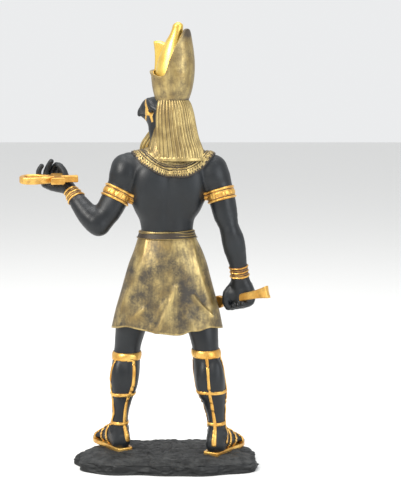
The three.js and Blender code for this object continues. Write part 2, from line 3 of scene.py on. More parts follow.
import bmesh
import bpy
import numpy as np
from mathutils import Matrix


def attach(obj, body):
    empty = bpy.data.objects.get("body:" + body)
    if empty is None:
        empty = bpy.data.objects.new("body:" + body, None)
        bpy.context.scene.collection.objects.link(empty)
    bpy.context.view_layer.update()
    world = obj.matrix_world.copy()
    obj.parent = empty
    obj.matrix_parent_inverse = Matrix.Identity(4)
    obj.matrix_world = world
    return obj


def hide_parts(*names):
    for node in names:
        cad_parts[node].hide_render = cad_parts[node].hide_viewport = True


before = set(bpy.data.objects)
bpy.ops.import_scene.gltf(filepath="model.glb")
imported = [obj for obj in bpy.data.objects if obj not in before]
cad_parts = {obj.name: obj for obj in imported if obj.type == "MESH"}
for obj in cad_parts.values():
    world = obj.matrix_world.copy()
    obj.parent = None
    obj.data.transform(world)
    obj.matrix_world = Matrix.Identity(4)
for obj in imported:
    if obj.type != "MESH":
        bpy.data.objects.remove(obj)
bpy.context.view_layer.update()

# Shapes are worked out in millimetres, with the figure facing -y and standing on z = 0
mm = 0.001
fullTurn = 2 * math.pi


# Curves and small helpers

def unit(vector):
    vector = np.asarray(vector, float)
    return vector / np.linalg.norm(vector)


def spline(rows, count):
    rows = np.asarray(rows, float)
    place = np.linspace(0, len(rows) - 1, count)
    start = np.minimum(place.astype(int), len(rows) - 2)
    part = (place - start)[:, None]
    padded = np.vstack([2 * rows[0] - rows[1], rows, 2 * rows[-1] - rows[-2]])
    a, b, c, d = (padded[start + k] for k in range(4))
    cubic = (3 * b - a - 3 * c + d) * part ** 3
    square = (2 * a - 5 * b + 4 * c - d) * part ** 2
    return 0.5 * (2 * b + (c - a) * part + square + cubic)


def lookUp(rows, keys):
    # rows start with their key, from high to low or low to high
    fine = spline(rows, 40 * len(rows))
    fine = fine[np.argsort(fine[:, 0])]
    return [np.interp(keys, fine[:, 0], fine[:, k]) for k in range(1, fine.shape[1])]


def bump(distance, width):
    return np.exp(-(distance / width) ** 2)


def ease(value, low, high):
    share = np.clip((value - low) / (high - low), 0, 1)
    return share * share * (3 - 2 * share)


def latticeNoise(points, size, seed):
    places = np.asarray(points, float) / size + 1000
    cell = np.floor(places).astype(np.int64)
    part = places - cell
    part = part * part * (3 - 2 * part)
    total = np.zeros(places.shape[:-1])
    for corner in np.ndindex(2, 2, 2):
        at = cell + np.array(corner)
        mixed = at[..., 0] * 73856093 ^ at[..., 1] * 19349663 ^ at[..., 2] * 83492791 ^ (seed * 2654435)
        mixed = (mixed ^ (mixed >> 13)) * 1274126177 % 2147483647
        weight = np.prod(np.where(corner, part, 1 - part), axis=-1)
        total += weight * (mixed % 10007) / 10007
    return total * 2 - 1


# Solid forms as distance fields: below 0 inside, above 0 outside

farAway = 1e4


def tube(rows, side=(1, 0, 0), finer=2, power=2.0):
    # rows are [x, y, z, half width, half depth], and the width runs along side
    fine = spline(rows, (len(rows) - 1) * finer + 1)
    path, wide, deep = fine[:, :3], fine[:, 3], fine[:, 4]
    side = np.asarray(side, float)

    def field(points):
        best = np.full(len(points), farAway)
        low, high = points.min(0), points.max(0)
        for i in range(len(path) - 1):
            reach = max(wide[i], wide[i + 1], deep[i], deep[i + 1]) + 7
            ends = path[i:i + 2]
            if np.any(ends.min(0) - reach > high) or np.any(ends.max(0) + reach < low):
                continue
            span = ends[1] - ends[0]
            length = np.linalg.norm(span)
            along = span / length
            across = unit(side - along * (side @ along))
            through = np.cross(along, across)
            offset = points - ends[0]
            share = np.clip(offset @ along / length, 0, 1)
            offset = offset - share[:, None] * span
            a = wide[i] + (wide[i + 1] - wide[i]) * share
            b = deep[i] + (deep[i + 1] - deep[i]) * share
            c = 0.5 * (a + b)
            u, v, w = np.abs(offset @ across), np.abs(offset @ through), np.abs(offset @ along)
            if power == 2.0:
                size = np.sqrt((u / a) ** 2 + (v / b) ** 2 + (w / c) ** 2)
                slope = np.sqrt((u / a ** 2) ** 2 + (v / b ** 2) ** 2 + (w / c ** 2) ** 2)
                distance = size * (size - 1) / np.maximum(slope, 1e-6)
            else:
                size = ((u / a) ** power + (v / b) ** power + (w / c) ** power) ** (1 / power)
                distance = (size - 1) * np.minimum(a, b)
            best = np.minimum(best, distance)
        return best
    return field


def ball(centre, radii, ahead=(1, 0, 0), up=(0, 0, 1)):
    first = unit(ahead)
    third = unit(np.asarray(up, float) - first * (np.asarray(up, float) @ first))
    axes = np.array([first, np.cross(third, first), third])
    radii = np.asarray(radii, float)

    def field(points):
        local = (points - np.asarray(centre, float)) @ axes.T
        size = np.linalg.norm(local / radii, axis=1)
        slope = np.linalg.norm(local / radii ** 2, axis=1)
        return size * (size - 1) / np.maximum(slope, 1e-6)
    return field


def digit(joints, thick, taper=0.08):
    rows = [[*joint, thick * (1 - taper * i), thick * (1 - taper * i)] for i, joint in enumerate(joints)]
    return tube(rows, (0.4, 0.7, 0.5), 2)


def form(*steps):
    # each step is (what, field, softness), where what is "add" or "cut"
    def field(points):
        value = np.full(len(points), farAway)
        for what, other, soft in steps:
            toward = other(points)
            if what == "cut":
                mixing = np.clip(0.5 - 0.5 * (value + toward) / soft, 0, 1)
                value = value + (-toward - value) * mixing + soft * mixing * (1 - mixing)
            else:
                mixing = np.clip(0.5 + 0.5 * (value - toward) / soft, 0, 1)
                value = value + (toward - value) * mixing - soft * mixing * (1 - mixing)
        return value
    return field


def inPieces(field, points, size=40000):
    return np.concatenate([field(points[i:i + size]) for i in range(0, len(points), size)])


def slopeOf(field, points, reach=0.12):
    steps = np.eye(3) * reach
    return np.stack([
        (inPieces(field, points + step) - inPieces(field, points - step)) / (2 * reach) for step in steps
    ], axis=1)


def ontoSurface(field, points):
    slope = slopeOf(field, points)
    steep = np.maximum((slope ** 2).sum(1), 0.05)
    move = (inPieces(field, points) / steep)[:, None] * slope
    length = np.maximum(np.linalg.norm(move, axis=1, keepdims=True), 1e-9)
    return points - move * np.minimum(1, 0.5 / length)


def sampled(field, low, high, step, block=8):
    low = np.asarray(low, float)
    counts = np.ceil((np.asarray(high, float) - low) / step / block).astype(int)
    values = np.empty(counts * block + 1)
    size = block * step
    origins = np.stack(np.meshgrid(*[np.arange(n) for n in counts], indexing="ij"), -1).reshape(-1, 3)
    middles = low + (origins + 0.5) * size
    rough = inPieces(field, middles)
    values[:] = farAway
    for origin, value in zip(origins[rough < 0] * block, rough[rough < 0]):
        x, y, z = origin
        values[x:x + block + 1, y:y + block + 1, z:z + block + 1] = -farAway
    near = origins[np.abs(rough) < size * 1.15] * block
    steps = np.stack(np.meshgrid(*[np.arange(block + 1)] * 3, indexing="ij"), -1).reshape(-1, 3)
    for i in range(0, len(near), 60):
        places = (near[i:i + 60, None] + steps).reshape(-1, 3)
        values[places[:, 0], places[:, 1], places[:, 2]] = field(low + places * step)
    return values


def surfaceNet(values, low, step):
    inside = values < 0
    corners = np.array(list(np.ndindex(2, 2, 2)))
    shape = np.array(values.shape) - 1
    near = sum(inside[c[0]:c[0] + shape[0], c[1]:c[1] + shape[1], c[2]:c[2] + shape[2]].astype(int)
               for c in corners)
    cells = np.argwhere((near > 0) & (near < 8))
    number = np.full(shape, -1)
    number[tuple(cells.T)] = np.arange(len(cells))
    total = np.zeros((len(cells), 3))
    crossings = np.zeros(len(cells))
    for a, first in enumerate(corners):
        for second in corners[a + 1:]:
            if np.abs(first - second).sum() != 1:
                continue
            one, two = values[tuple((cells + first).T)], values[tuple((cells + second).T)]
            crossed = (one < 0) != (two < 0)
            one, two = np.clip(one, -step, step), np.clip(two, -step, step)
            share = np.where(crossed, one / np.where(crossed, one - two, 1), 0)[:, None]
            total += np.where(crossed[:, None], first + (second - first) * share, 0)
            crossings += crossed
    points = np.asarray(low) + (cells + total / crossings[:, None]) * step
    faces = []
    for axis in range(3):
        b, c = [k for k in range(3) if k != axis]
        before = np.take(inside, range(0, values.shape[axis] - 1), axis)
        after = np.take(inside, range(1, values.shape[axis]), axis)
        edges = np.argwhere(before != after)
        across, down = edges[:, b], edges[:, c]
        edges = edges[(across > 0) & (down > 0) & (across < shape[b]) & (down < shape[c])]
        quad = []
        for backB, backC in ((1, 1), (0, 1), (0, 0), (1, 0)):
            at = edges.copy()
            at[:, b] -= backB
            at[:, c] -= backC
            quad.append(number[tuple(at.T)])
        quad = np.stack(quad, 1)
        flip = before[tuple(edges.T)] == (axis == 1)
        quad[flip] = quad[flip][:, ::-1]
        faces.append(quad)
    return points, np.vstack(faces)


def relaxed(points, faces, share=0.5):
    total = np.zeros_like(points)
    count = np.zeros(len(points))
    for k in range(4):
        a, b = faces[:, k], faces[:, (k + 1) % 4]
        for one, two in ((a, b), (b, a)):
            for axis in range(3):
                total[:, axis] += np.bincount(one, points[two, axis], len(points))
            count += np.bincount(one, minlength=len(points))
    return points + share * (total / np.maximum(count, 1)[:, None] - points)


def cast(field, low, high, step):
    step = step * 1
    points, faces = surfaceNet(sampled(field, low, high, step), low, step)
    points = ontoSurface(field, points)
    points = ontoSurface(field, relaxed(points, faces))
    return points, faces


# Skins: grids of points laid on a form, and lofts through rings

def onSkin(field, starts, directions, reach, samples=22):
    # the first place along each ray where it leaves the form
    shape = starts.shape
    starts = starts.reshape(-1, 3)
    directions = directions.reshape(-1, 3)
    steps = np.linspace(0, reach, samples)
    hit = np.full(len(starts), reach)
    found = np.zeros(len(starts), bool)
    for k in range(1, samples):
        outside = inPieces(field, starts + directions * steps[k]) > 0
        fresh = outside & ~found
        hit[fresh] = steps[k]
        found |= outside
    low, high = hit - steps[1], hit
    for _ in range(9):
        middle = 0.5 * (low + high)
        outside = inPieces(field, starts + directions * middle[:, None]) > 0
        high = np.where(outside, middle, high)
        low = np.where(outside, low, middle)
    points = starts + directions * high[:, None]
    slope = slopeOf(field, points, 0.5)
    normals = slope / np.maximum(np.linalg.norm(slope, axis=1, keepdims=True), 1e-6)
    return points.reshape(shape), normals.reshape(shape)


def gridFaces(rows, columns, closedColumns, start=0):
    i = np.arange(rows - 1)[:, None] * columns
    j = np.arange(columns if closedColumns else columns - 1)[None, :]
    following = (j + 1) % columns
    quads = np.stack([i + j, i + following, i + columns + following, i + columns + j], -1)
    return quads.reshape(-1, 4) + start


def slab(top, bottom, closedColumns=False):
    # two grids of the same size, joined along their open edges
    rows, columns = top.shape[:2]
    count = rows * columns
    faces = [gridFaces(rows, columns, closedColumns), gridFaces(rows, columns, closedColumns, count)[:, ::-1]]
    j = np.arange(columns if closedColumns else columns - 1)
    following = (j + 1) % columns
    last = (rows - 1) * columns
    faces.append(np.stack([j + count, following + count, following, j], 1))
    faces.append(np.stack([last + j, last + following, last + following + count, last + j + count], 1))
    if not closedColumns:
        i = np.arange(rows - 1) * columns
        faces.append(np.stack([i, i + columns, i + columns + count, i + count], 1))
        end = i + columns - 1
        faces.append(np.stack([end + count, end + columns + count, end + columns, end], 1))
    points = np.vstack([top.reshape(-1, 3), bottom.reshape(-1, 3)])
    return points, np.vstack(faces)


def loft(rings):
    # rings with equal counts, both ends closed
    rings = np.asarray(rings)
    rows, columns = rings.shape[:2]
    points = rings.reshape(-1, 3)
    faces = gridFaces(rows, columns, True).tolist()
    faces.append(list(range(columns))[::-1])
    faces.append(list(range((rows - 1) * columns, rows * columns)))
    return points, faces


def together(parts):
    points, faces, count = [], [], 0
    for somePoints, someFaces in parts:
        points.append(somePoints)
        faces.extend((np.asarray(f) + count).tolist() for f in someFaces)
        count += len(somePoints)
    return np.vstack(points), faces


allPieces = []


def makePiece(name, shape, material, replaced, masks=None, mendNormals=True):
    points, faces = shape
    mesh = bpy.data.meshes.new(name)
    faces = faces.tolist() if isinstance(faces, np.ndarray) else faces
    mesh.from_pydata((np.asarray(points) * mm).tolist(), [], faces)
    for maskName, values in (masks or {}).items():
        mask = mesh.attributes.new(maskName, "FLOAT", "POINT")
        mask.data.foreach_set("value", np.asarray(values, np.float32).ravel())
    if mendNormals:
        edit = bmesh.new()
        edit.from_mesh(mesh)
        bmesh.ops.recalc_face_normals(edit, faces=edit.faces)
        edit.to_mesh(mesh)
        edit.free()
    mesh.polygons.foreach_set("use_smooth", [True] * len(mesh.polygons))
    mesh.materials.append(material)
    piece = bpy.data.objects.new(name, mesh)
    bpy.context.scene.collection.objects.link(piece)
    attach(piece, "root")
    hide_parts(replaced)
    allPieces.append(piece)
    print("piece", name, len(mesh.polygons), "faces")
    return piece


# Camera and stage

viewpoint = {"place": (-23.3, 1011.0, 295.0), "tiltDown": 8.27, "lens": 109.1}

cameraData = bpy.data.cameras.new("camera")
cameraData.lens = viewpoint["lens"]
camera = bpy.data.objects.new("camera", cameraData)
camera.location = [value * mm for value in viewpoint["place"]]
camera.rotation_euler = (math.radians(90 - viewpoint["tiltDown"]), 0, math.pi)
bpy.context.scene.collection.objects.link(camera)
bpy.context.scene.camera = camera
print("camera ready")


# Node groups shared by the materials

def put(tree, kind, links=None, **settings):
    node = tree.nodes.new(kind)
    for name, value in settings.items():
        setattr(node, name, value)
    for socket, value in (links or {}).items():
        if isinstance(value, bpy.types.NodeSocket):
            tree.links.new(value, node.inputs[socket])
        else:
            node.inputs[socket].default_value = value
    return node


def nodeGroup(name, inputs, outputs):
    tree = bpy.data.node_groups.new(name, "ShaderNodeTree")
    for socketName, default in inputs.items():
        socket = tree.interface.new_socket(socketName, in_out="INPUT", socket_type="NodeSocketFloat")
        socket.default_value = default
    for socketName in outputs:
        tree.interface.new_socket(socketName, in_out="OUTPUT", socket_type="NodeSocketFloat")
    return tree, put(tree, "NodeGroupInput"), put(tree, "NodeGroupOutput")


def noise(tree, scale, detail=3.0, stretch=None):
    place = put(tree, "ShaderNodeTexCoord").outputs["Object"]
    if stretch is not None:
        place = put(tree, "ShaderNodeMapping", {"Vector": place, "Scale": stretch}).outputs["Vector"]
    return put(tree, "ShaderNodeTexNoise", {"Vector": place, "Scale": scale, "Detail": detail}).outputs["Fac"]


def ramp(tree, value, low, high, toLow=0.0, toHigh=1.0, kind="SMOOTHSTEP"):
    return put(tree, "ShaderNodeMapRange", {
        "Value": value, "From Min": low, "From Max": high, "To Min": toLow, "To Max": toHigh,
    }, interpolation_type=kind).outputs["Result"]


def maths(tree, operation, first, second=0.0):
    return put(tree, "ShaderNodeMath", {0: first, 1: second}, operation=operation).outputs[0]


def makePaintWear():
    # how much of the top paint is left, from how far a place is raised
    tree, start, end = nodeGroup("paintWear", {
        "Raised": 0.5, "Wear": 0.5, "Patch Scale": 220.0, "Softness": 0.25, "Patchiness": 1.6,
    }, ["Left"])
    coarse = noise(tree, start.outputs["Patch Scale"], 4.0)
    fine = noise(tree, maths(tree, "MULTIPLY", start.outputs["Patch Scale"], 6.0), 2.0)
    mixed = maths(tree, "ADD", maths(tree, "MULTIPLY", coarse, 0.7), maths(tree, "MULTIPLY", fine, 0.3))
    noisy = maths(tree, "MULTIPLY", maths(tree, "SUBTRACT", mixed, 0.5), start.outputs["Patchiness"])
    height = maths(tree, "ADD", start.outputs["Raised"], noisy)
    low = maths(tree, "SUBTRACT", start.outputs["Wear"], start.outputs["Softness"])
    high = maths(tree, "ADD", start.outputs["Wear"], start.outputs["Softness"])
    tree.links.new(ramp(tree, height, low, high), end.inputs["Left"])
    return tree


def makeGrain():
    # small unevenness of the casting, as a height and a slow mottle
    tree, start, end = nodeGroup("castGrain", {"Scale": 900.0, "Mottle Scale": 90.0}, ["Height", "Mottle"])
    tree.links.new(noise(tree, start.outputs["Scale"], 4.0), end.inputs["Height"])
    mottle = noise(tree, start.outputs["Mottle Scale"], 3.0)
    tree.links.new(ramp(tree, mottle, 0.3, 0.7), end.inputs["Mottle"])
    return tree


def makeDust():
    # pale dust on faces that look up
    tree, start, end = nodeGroup("settledDust", {"Amount": 0.3, "Scale": 160.0}, ["Mask"])
    up = put(tree, "ShaderNodeSeparateXYZ", {"Vector": put(tree, "ShaderNodeNewGeometry").outputs["Normal"]})
    facing = ramp(tree, up.outputs["Z"], 0.25, 0.95)
    patchy = ramp(tree, noise(tree, start.outputs["Scale"], 4.0), 0.35, 0.7)
    mask = maths(tree, "MULTIPLY", maths(tree, "MULTIPLY", facing, patchy), start.outputs["Amount"])
    tree.links.new(mask, end.inputs["Mask"])
    return tree


def makeBrushing():
    # dry-brushed streaks that run down a form
    tree, start, end = nodeGroup("dryBrush", {"Scale": 500.0, "Cover": 0.5}, ["Mask"])
    streaks = noise(tree, start.outputs["Scale"], 4.0, (1.0, 1.0, 0.08))
    low = maths(tree, "SUBTRACT", 0.85, start.outputs["Cover"])
    mask = ramp(tree, streaks, low, maths(tree, "ADD", low, 0.25))
    tree.links.new(mask, end.inputs["Mask"])
    return tree


effects = {"wear": makePaintWear(), "grain": makeGrain(), "dust": makeDust(), "brush": makeBrushing()}


def effect(tree, name, links):
    node = put(tree, "ShaderNodeGroup", node_tree=effects[name])
    for socket, value in links.items():
        if isinstance(value, bpy.types.NodeSocket):
            tree.links.new(value, node.inputs[socket])
        else:
            node.inputs[socket].default_value = value
    return node.outputs


def blendColours(tree, share, first, second):
    node = put(tree, "ShaderNodeMix", data_type="RGBA")
    for index, value in ((0, share), (6, first), (7, second)):
        if isinstance(value, bpy.types.NodeSocket):
            tree.links.new(value, node.inputs[index])
        else:
            node.inputs[index].default_value = (*value, 1) if index else value
    return node.outputs[2]


def newMaterial(name, **shader):
    material = bpy.data.materials.new(name)
    material.use_nodes = True
    tree = material.node_tree
    surface = tree.nodes["Principled BSDF"]
    for socket, value in shader.items():
        surface.inputs[socket.replace("_", " ")].default_value = value
    return material, tree, surface


def attribute(tree, name):
    return put(tree, "ShaderNodeAttribute", attribute_name=name).outputs["Fac"]


def resinMaterial(name, look):
    material, tree, surface = newMaterial(name, Metallic=0.0, Specular_IOR_Level=look["sheen"])
    grain = effect(tree, "grain", {"Scale": look["grainScale"], "Mottle Scale": look["mottleScale"]})
    dust = effect(tree, "dust", {"Amount": look["dust"]})
    base = blendColours(tree, grain["Mottle"], look["dark"], look["light"])
    base = blendColours(tree, dust["Mask"], base, look["dustColour"])
    tree.links.new(base, surface.inputs["Base Color"])
    tree.links.new(ramp(tree, grain["Mottle"], 0, 1, *look["rough"]), surface.inputs["Roughness"])
    bumpNode = put(tree, "ShaderNodeBump", {
        "Height": grain["Height"], "Strength": look["bump"], "Distance": look["bumpDepth"],
    })
    tree.links.new(bumpNode.outputs["Normal"], surface.inputs["Normal"])
    return material


def goldMaterial(name, look):
    # gold paint over a dark ground; the mesh says how far each point is raised, and on the kilt it also
    # carries painted highlights and painted shade
    material, tree, surface = newMaterial(name)
    grain = effect(tree, "grain", {"Scale": look["grainScale"], "Mottle Scale": look["mottleScale"]})
    left = effect(tree, "wear", {
        "Raised": attribute(tree, "raised"), "Wear": look["wear"], "Softness": look["softness"],
        "Patch Scale": look["patchScale"], "Patchiness": look["patchiness"],
    })["Left"]
    if look["brushed"]:
        brush = effect(tree, "brush", {"Scale": look["brushScale"], "Cover": look["brushCover"]})["Mask"]
        streaks = maths(tree, "MULTIPLY", brush, look["brushed"])
        left = maths(tree, "MULTIPLY", left, maths(tree, "ADD", streaks, 1 - look["brushed"]))
    paint = blendColours(tree, grain["Mottle"], look["deepGold"], look["gold"])
    base = blendColours(tree, left, look["ground"], paint)
    tree.links.new(base, surface.inputs["Base Color"])
    tree.links.new(ramp(tree, left, 0, 1, 0.1, look["metal"], "LINEAR"), surface.inputs["Metallic"])
    rough = ramp(tree, left, 0, 1, look["groundRough"], look["rough"], "LINEAR")
    tree.links.new(rough, surface.inputs["Roughness"])
    height = maths(tree, "ADD", grain["Height"], maths(tree, "MULTIPLY", left, look["paintThick"]))
    bumpNode = put(tree, "ShaderNodeBump", {
        "Height": height, "Strength": look["bump"], "Distance": look["bumpDepth"],
    })
    tree.links.new(bumpNode.outputs["Normal"], surface.inputs["Normal"])
    return material


skinLook = {
    "dark": (0.0055, 0.0068, 0.0085), "light": (0.010, 0.0125, 0.015), "dustColour": (0.08, 0.08, 0.08),
    "dust": 0.10, "grainScale": 1500.0, "mottleScale": 60.0, "rough": (0.38, 0.48), "bump": 0.2,
    "bumpDepth": 0.0002, "sheen": 0.4,
}
rockLook = {
    "dark": (0.008, 0.0085, 0.009), "light": (0.022, 0.023, 0.0235), "dustColour": (0.075, 0.077, 0.076),
    "dust": 0.5, "grainScale": 700.0, "mottleScale": 180.0, "rough": (0.5, 0.75), "bump": 0.6,
    "bumpDepth": 0.0006, "sheen": 0.3,
}
antiqueLook = {
    "gold": (0.54, 0.41, 0.17), "deepGold": (0.30, 0.21, 0.08), "ground": (0.030, 0.020, 0.011),
    "wear": 0.42, "softness": 0.26, "patchScale": 160.0, "patchiness": 0.7, "brushed": 0.3,
    "brushScale": 420.0, "brushCover": 0.5, "metal": 0.8, "rough": 0.36, "groundRough": 0.5,
    "grainScale": 1400.0, "mottleScale": 110.0, "bump": 0.3, "bumpDepth": 0.0002, "paintThick": 0.3,
}
crownLook = dict(antiqueLook, ground=(0.060, 0.043, 0.024), wear=0.34, patchiness=1.0, brushed=0.4)
kiltLook = dict(antiqueLook, ground=(0.034, 0.027, 0.019), wear=0.46, softness=0.34, patchScale=120.0,
                patchiness=1.3, brushed=0.4)
brightLook = dict(antiqueLook, gold=(0.82, 0.50, 0.13), deepGold=(0.55, 0.27, 0.05),
                  ground=(0.05, 0.02, 0.010), wear=0.3, patchiness=1.0, brushed=0.0, rough=0.34,
                  patchScale=260.0)
bulbLook = dict(antiqueLook, gold=(0.88, 0.66, 0.16), deepGold=(0.72, 0.46, 0.09), wear=0.15, brushed=0.1,
                rough=0.32)

resinSkin = resinMaterial("resinSkin", skinLook)
resinRock = resinMaterial("resinRock", rockLook)
antiqueGold = goldMaterial("antiqueGold", antiqueLook)
crownGold = goldMaterial("crownGold", crownLook)
kiltGold = goldMaterial("kiltGold", kiltLook)
brightGold = goldMaterial("brightGold", brightLook)
bulbGold = goldMaterial("bulbGold", bulbLook)
print("materials ready")


# Body: trunk, arms and hands as one casting

def stack(rows, shape=None, taper=0.8):
    # rows are [z, x, y, half width, half depth]
    low, high = min(row[0] for row in rows), max(row[0] for row in rows)

    def field(points):
        z = np.clip(points[:, 2], low, high)
        x, y, wide, deep = lookUp(rows, z)
        u, v = points[:, 0] - x, points[:, 1] - y
        if shape is not None:
            grow = shape(np.arctan2(v / deep, u / wide), z)
            wide, deep = wide * grow, deep * grow
        size = np.hypot(u / wide, v / deep)
        slope = np.hypot(u / wide ** 2, v / deep ** 2)
        distance = taper * size * (size - 1) / np.maximum(slope, 1e-6)
        return np.maximum(distance, np.maximum(low - points[:, 2], points[:, 2] - high))
    return field


torso = {
    "rows": [
        [152, -0.8, -1.0, 18.0, 11.5], [162, -0.8, -1.0, 17.4, 11.4], [170, -0.6, -1.0, 18.8, 12.2],
        [178, -0.8, -0.6, 21.6, 13.4], [186, -1.3, -0.4, 25.2, 14.6], [194, -1.8, -0.2, 28.0, 14.8],
        [202, -2.4, 0.2, 30.4, 13.8], [209, -3.0, 0.4, 29.6, 11.8], [213.5, -3.4, 0.6, 24.0, 10.4],
        [217, -3.6, 0.6, 14.0, 9.6], [223, -3.8, 0.6, 9.2, 9.0], [236, -4.2, 0.4, 9.0, 9.0],
    ],
    "furrow": (0.075, 0.17), "blades": (0.03, 0.55, 0.3),
}
leftArm = {
    "upper": [
        [21, -0.5, 206, 7.5, 8.0], [26.8, -0.3, 203.2, 9.8, 10.0], [29.6, 0.6, 192.6, 9.0, 9.2],
        [34.0, 2.4, 183, 9.0, 8.8], [38.6, 5.0, 174.6, 8.6, 8.2], [44.0, 7.0, 167.4, 7.4, 7.2],
    ],
    "fore": [
        [45.0, 7.6, 165.6, 6.6, 6.6], [47.6, 7.0, 168.0, 7.7, 7.3], [51.6, 4.6, 172.2, 8.0, 7.3],
        [57.6, 0.6, 179.4, 6.9, 6.1], [63.6, -4.4, 187.0, 5.1, 4.4], [67.0, -7.4, 190.4, 5.2, 4.3],
    ],
    "side": (0.5, 0, 0.5),
}
rightArm = {
    "rows": [
        [-26, -0.3, 206, 7.5, 8.0], [-31.6, -0.2, 202.6, 9.8, 10.0], [-35.4, 0.6, 191, 9.2, 9.4],
        [-38.4, 2.2, 180, 8.7, 8.8], [-40.2, 3.6, 172, 8.0, 8.0], [-42.2, 4.6, 165, 6.6, 7.3],
        [-44.6, 4.8, 157, 7.4, 7.4], [-46.4, 3.4, 149, 7.4, 6.9], [-49.0, 1.0, 137, 5.7, 5.0],
        [-50.2, -1.2, 126, 5.5, 4.8],
    ],
    "side": (1, 0, 0),
}


def torsoShape(angle, z):
    fromSpine = angle - math.pi / 2
    deepness, width = torso["furrow"]
    flat, at, spread = torso["blades"]
    return 1 - deepness * bump(fromSpine, width) + flat * bump(np.abs(fromSpine) - at, spread)


gripAt = np.array([-47.4, 0.3, 115.0])
gripAhead = unit([0.732, -0.628, -0.265])
gripOut = unit(np.cross(gripAhead, [0, 0, 1]))
gripUp = np.cross(gripOut, gripAhead)


def onGrip(along, up, out):
    return gripAt + gripAhead * along + gripUp * up + gripOut * out


leftHand = {
    "palm": [
        [66.0, -7.4, 189.4, 5.0, 4.2], [70.2, -9.8, 189.8, 5.8, 4.2], [76.0, -12.0, 190.2, 6.4, 3.6],
        [80.6, -13.4, 191.2, 5.4, 3.0],
    ],
    "palmSide": (0.3, 0.9, 0),
    "digits": [
        ([[79, -12.0, 190.4], [85.6, -13.0, 194.6], [86.4, -13.6, 200], [84.4, -13.8, 203.6]], 2.15),
        ([[78, -14.4, 190.6], [82.0, -16.0, 196.6], [80.4, -16.4, 202.6], [78.0, -15.6, 206.6]], 2.25),
        ([[75, -16.6, 190.6], [78.4, -19.0, 196.4], [77.0, -19.4, 201.8], [74.8, -18.6, 204.2]], 2.3),
        ([[71.5, -16.8, 190.4], [74.4, -19.8, 195.6], [73.6, -20.2, 200.4], [72.0, -19.4, 203.2]], 2.3),
        ([[67, -9.2, 190.4], [68.0, -9.6, 197], [69.8, -10.8, 201.4], [72.6, -12.0, 204.2]], 2.7),
    ],
}
rightHand = {
    "palm": [
        [-50.2, -1.2, 128, 5.8, 5.0], [-50.6, -2.0, 124.4, 7.4, 6.0], [-50.8, -2.6, 120, 9.8, 7.0],
        [-50.4, -2.4, 115.6, 9.6, 6.6],
    ],
    "curl": [[7, 8], [0.6, 9.4], [-4.4, 6.4], [-5.4, 0.6], [-4.6, -2.2]],
    "places": [-7, -2.8, 1.4, 5.6],
    "thick": 2.35,
    "thumb": [(2, 8.6, 1), (4.6, 5, -2.8), (6.0, -0.6, -4.2), (6.0, -4.6, -2.8)],
}


def bodyForm():
    steps = [
        ("add", stack(torso["rows"], torsoShape), 1),
        ("add", tube(leftArm["upper"], leftArm["side"]), 4),
        ("add", tube(leftArm["fore"], leftArm["side"]), 4),
        ("add", tube(rightArm["rows"], rightArm["side"]), 4),
    ]
    for hand in (1, -1):
        steps += [
            ("add", ball((-2.4 + 12.5 * hand, 10.6, 194), (8.5, 4.4, 10)), 5),
            ("add", ball((-1.6 + 16.5 * hand, 3, 186), (6.6, 9, 13)), 6),
            ("add", tube([[-1.6 + 5.5 * hand, 8.0, 184, 4.4, 3], [-1 + 4.6 * hand, 6.8, 164, 3.6, 2.6]]), 4),
            ("add", ball((-2.6 + 12 * hand, -9.4, 199), (11.5, 5.4, 8.5)), 3),
        ]
    steps += [
        ("add", ball((27.2, 1.6, 199.5), (8.8, 9.6, 9.6)), 2.5),
        ("add", ball((-31.6, 1.4, 198.5), (9.0, 9.8, 10)), 2.5),
        ("add", ball((31.8, 5.4, 184), (12, 5.4, 5.0), (0.38, 0.28, -0.88)), 3),
        ("add", ball((-38.2, 5.6, 180), (5.4, 5.4, 13)), 3),
        ("add", ball((-43.4, 8.2, 161), (4.0, 4, 5)), 3),
        ("add", ball((-47.6, 4.4, 152), (3.6, 4.6, 9)), 3),
    ]
    steps.append(("add", tube(leftHand["palm"], leftHand["palmSide"]), 2))
    steps += [("add", digit(joints, thick), 0.9) for joints, thick in leftHand["digits"]]
    steps.append(("add", tube(rightHand["palm"], gripAhead), 2.5))
    for along in rightHand["places"]:
        joints = [onGrip(along, up, out) for up, out in rightHand["curl"]]
        steps.append(("add", digit(joints, rightHand["thick"], 0.04), 0.7))
    steps.append(("add", ball(onGrip(4.0, 3.2, 0.4), (6.4, 5.0, 5.6), gripAhead), 1.5))
    steps.append(("add", digit([onGrip(*place) for place in rightHand["thumb"]], 2.7, 0.05), 0.9))
    return form(*steps)


bodySkin = bodyForm()
bodyMesh = cast(bodySkin, (-66, -24, 102), (93, 24, 232), 0.72)
makePiece("bodyAndArms", bodyMesh, resinSkin, "figure_and_rock_base")


# Flat pieces drawn in their own plane

def bezier(controls, share):
    while len(controls) > 1:
        controls = [a + (b - a) * share for a, b in zip(controls, controls[1:])]
    return controls[0]


def outline(start, *steps, fine=9):
    # each step is the points after the last one: 1 for a line, 2 or 3 for a curve
    points = [np.array([start], float)]
    for step in steps:
        controls = [points[-1][-1]] + [np.array(point, float) for point in step]
        shares = np.linspace(0, 1, fine + 1)[1:, None] if len(step) > 1 else np.array([[1.0]])
        points.append(bezier(controls, shares))
    return np.vstack(points)


def outlineDistance(polygon, u, v):
    best = np.full(len(u), farAway)
    inside = np.zeros(len(u), bool)
    for (ax, ay), (bx, by) in zip(polygon, np.roll(polygon, -1, 0)):
        dx, dy = bx - ax, by - ay
        run = dx * dx + dy * dy
        if run < 1e-12:
            continue
        share = np.clip(((u - ax) * dx + (v - ay) * dy) / run, 0, 1)
        best = np.minimum(best, np.hypot(u - ax - share * dx, v - ay - share * dy))
        crossing = (ay > v) != (by > v)
        inside ^= crossing & (u < dx * (v - ay) / (dy if abs(dy) > 1e-9 else 1e-9) + ax)
    return np.where(inside, -best, best)


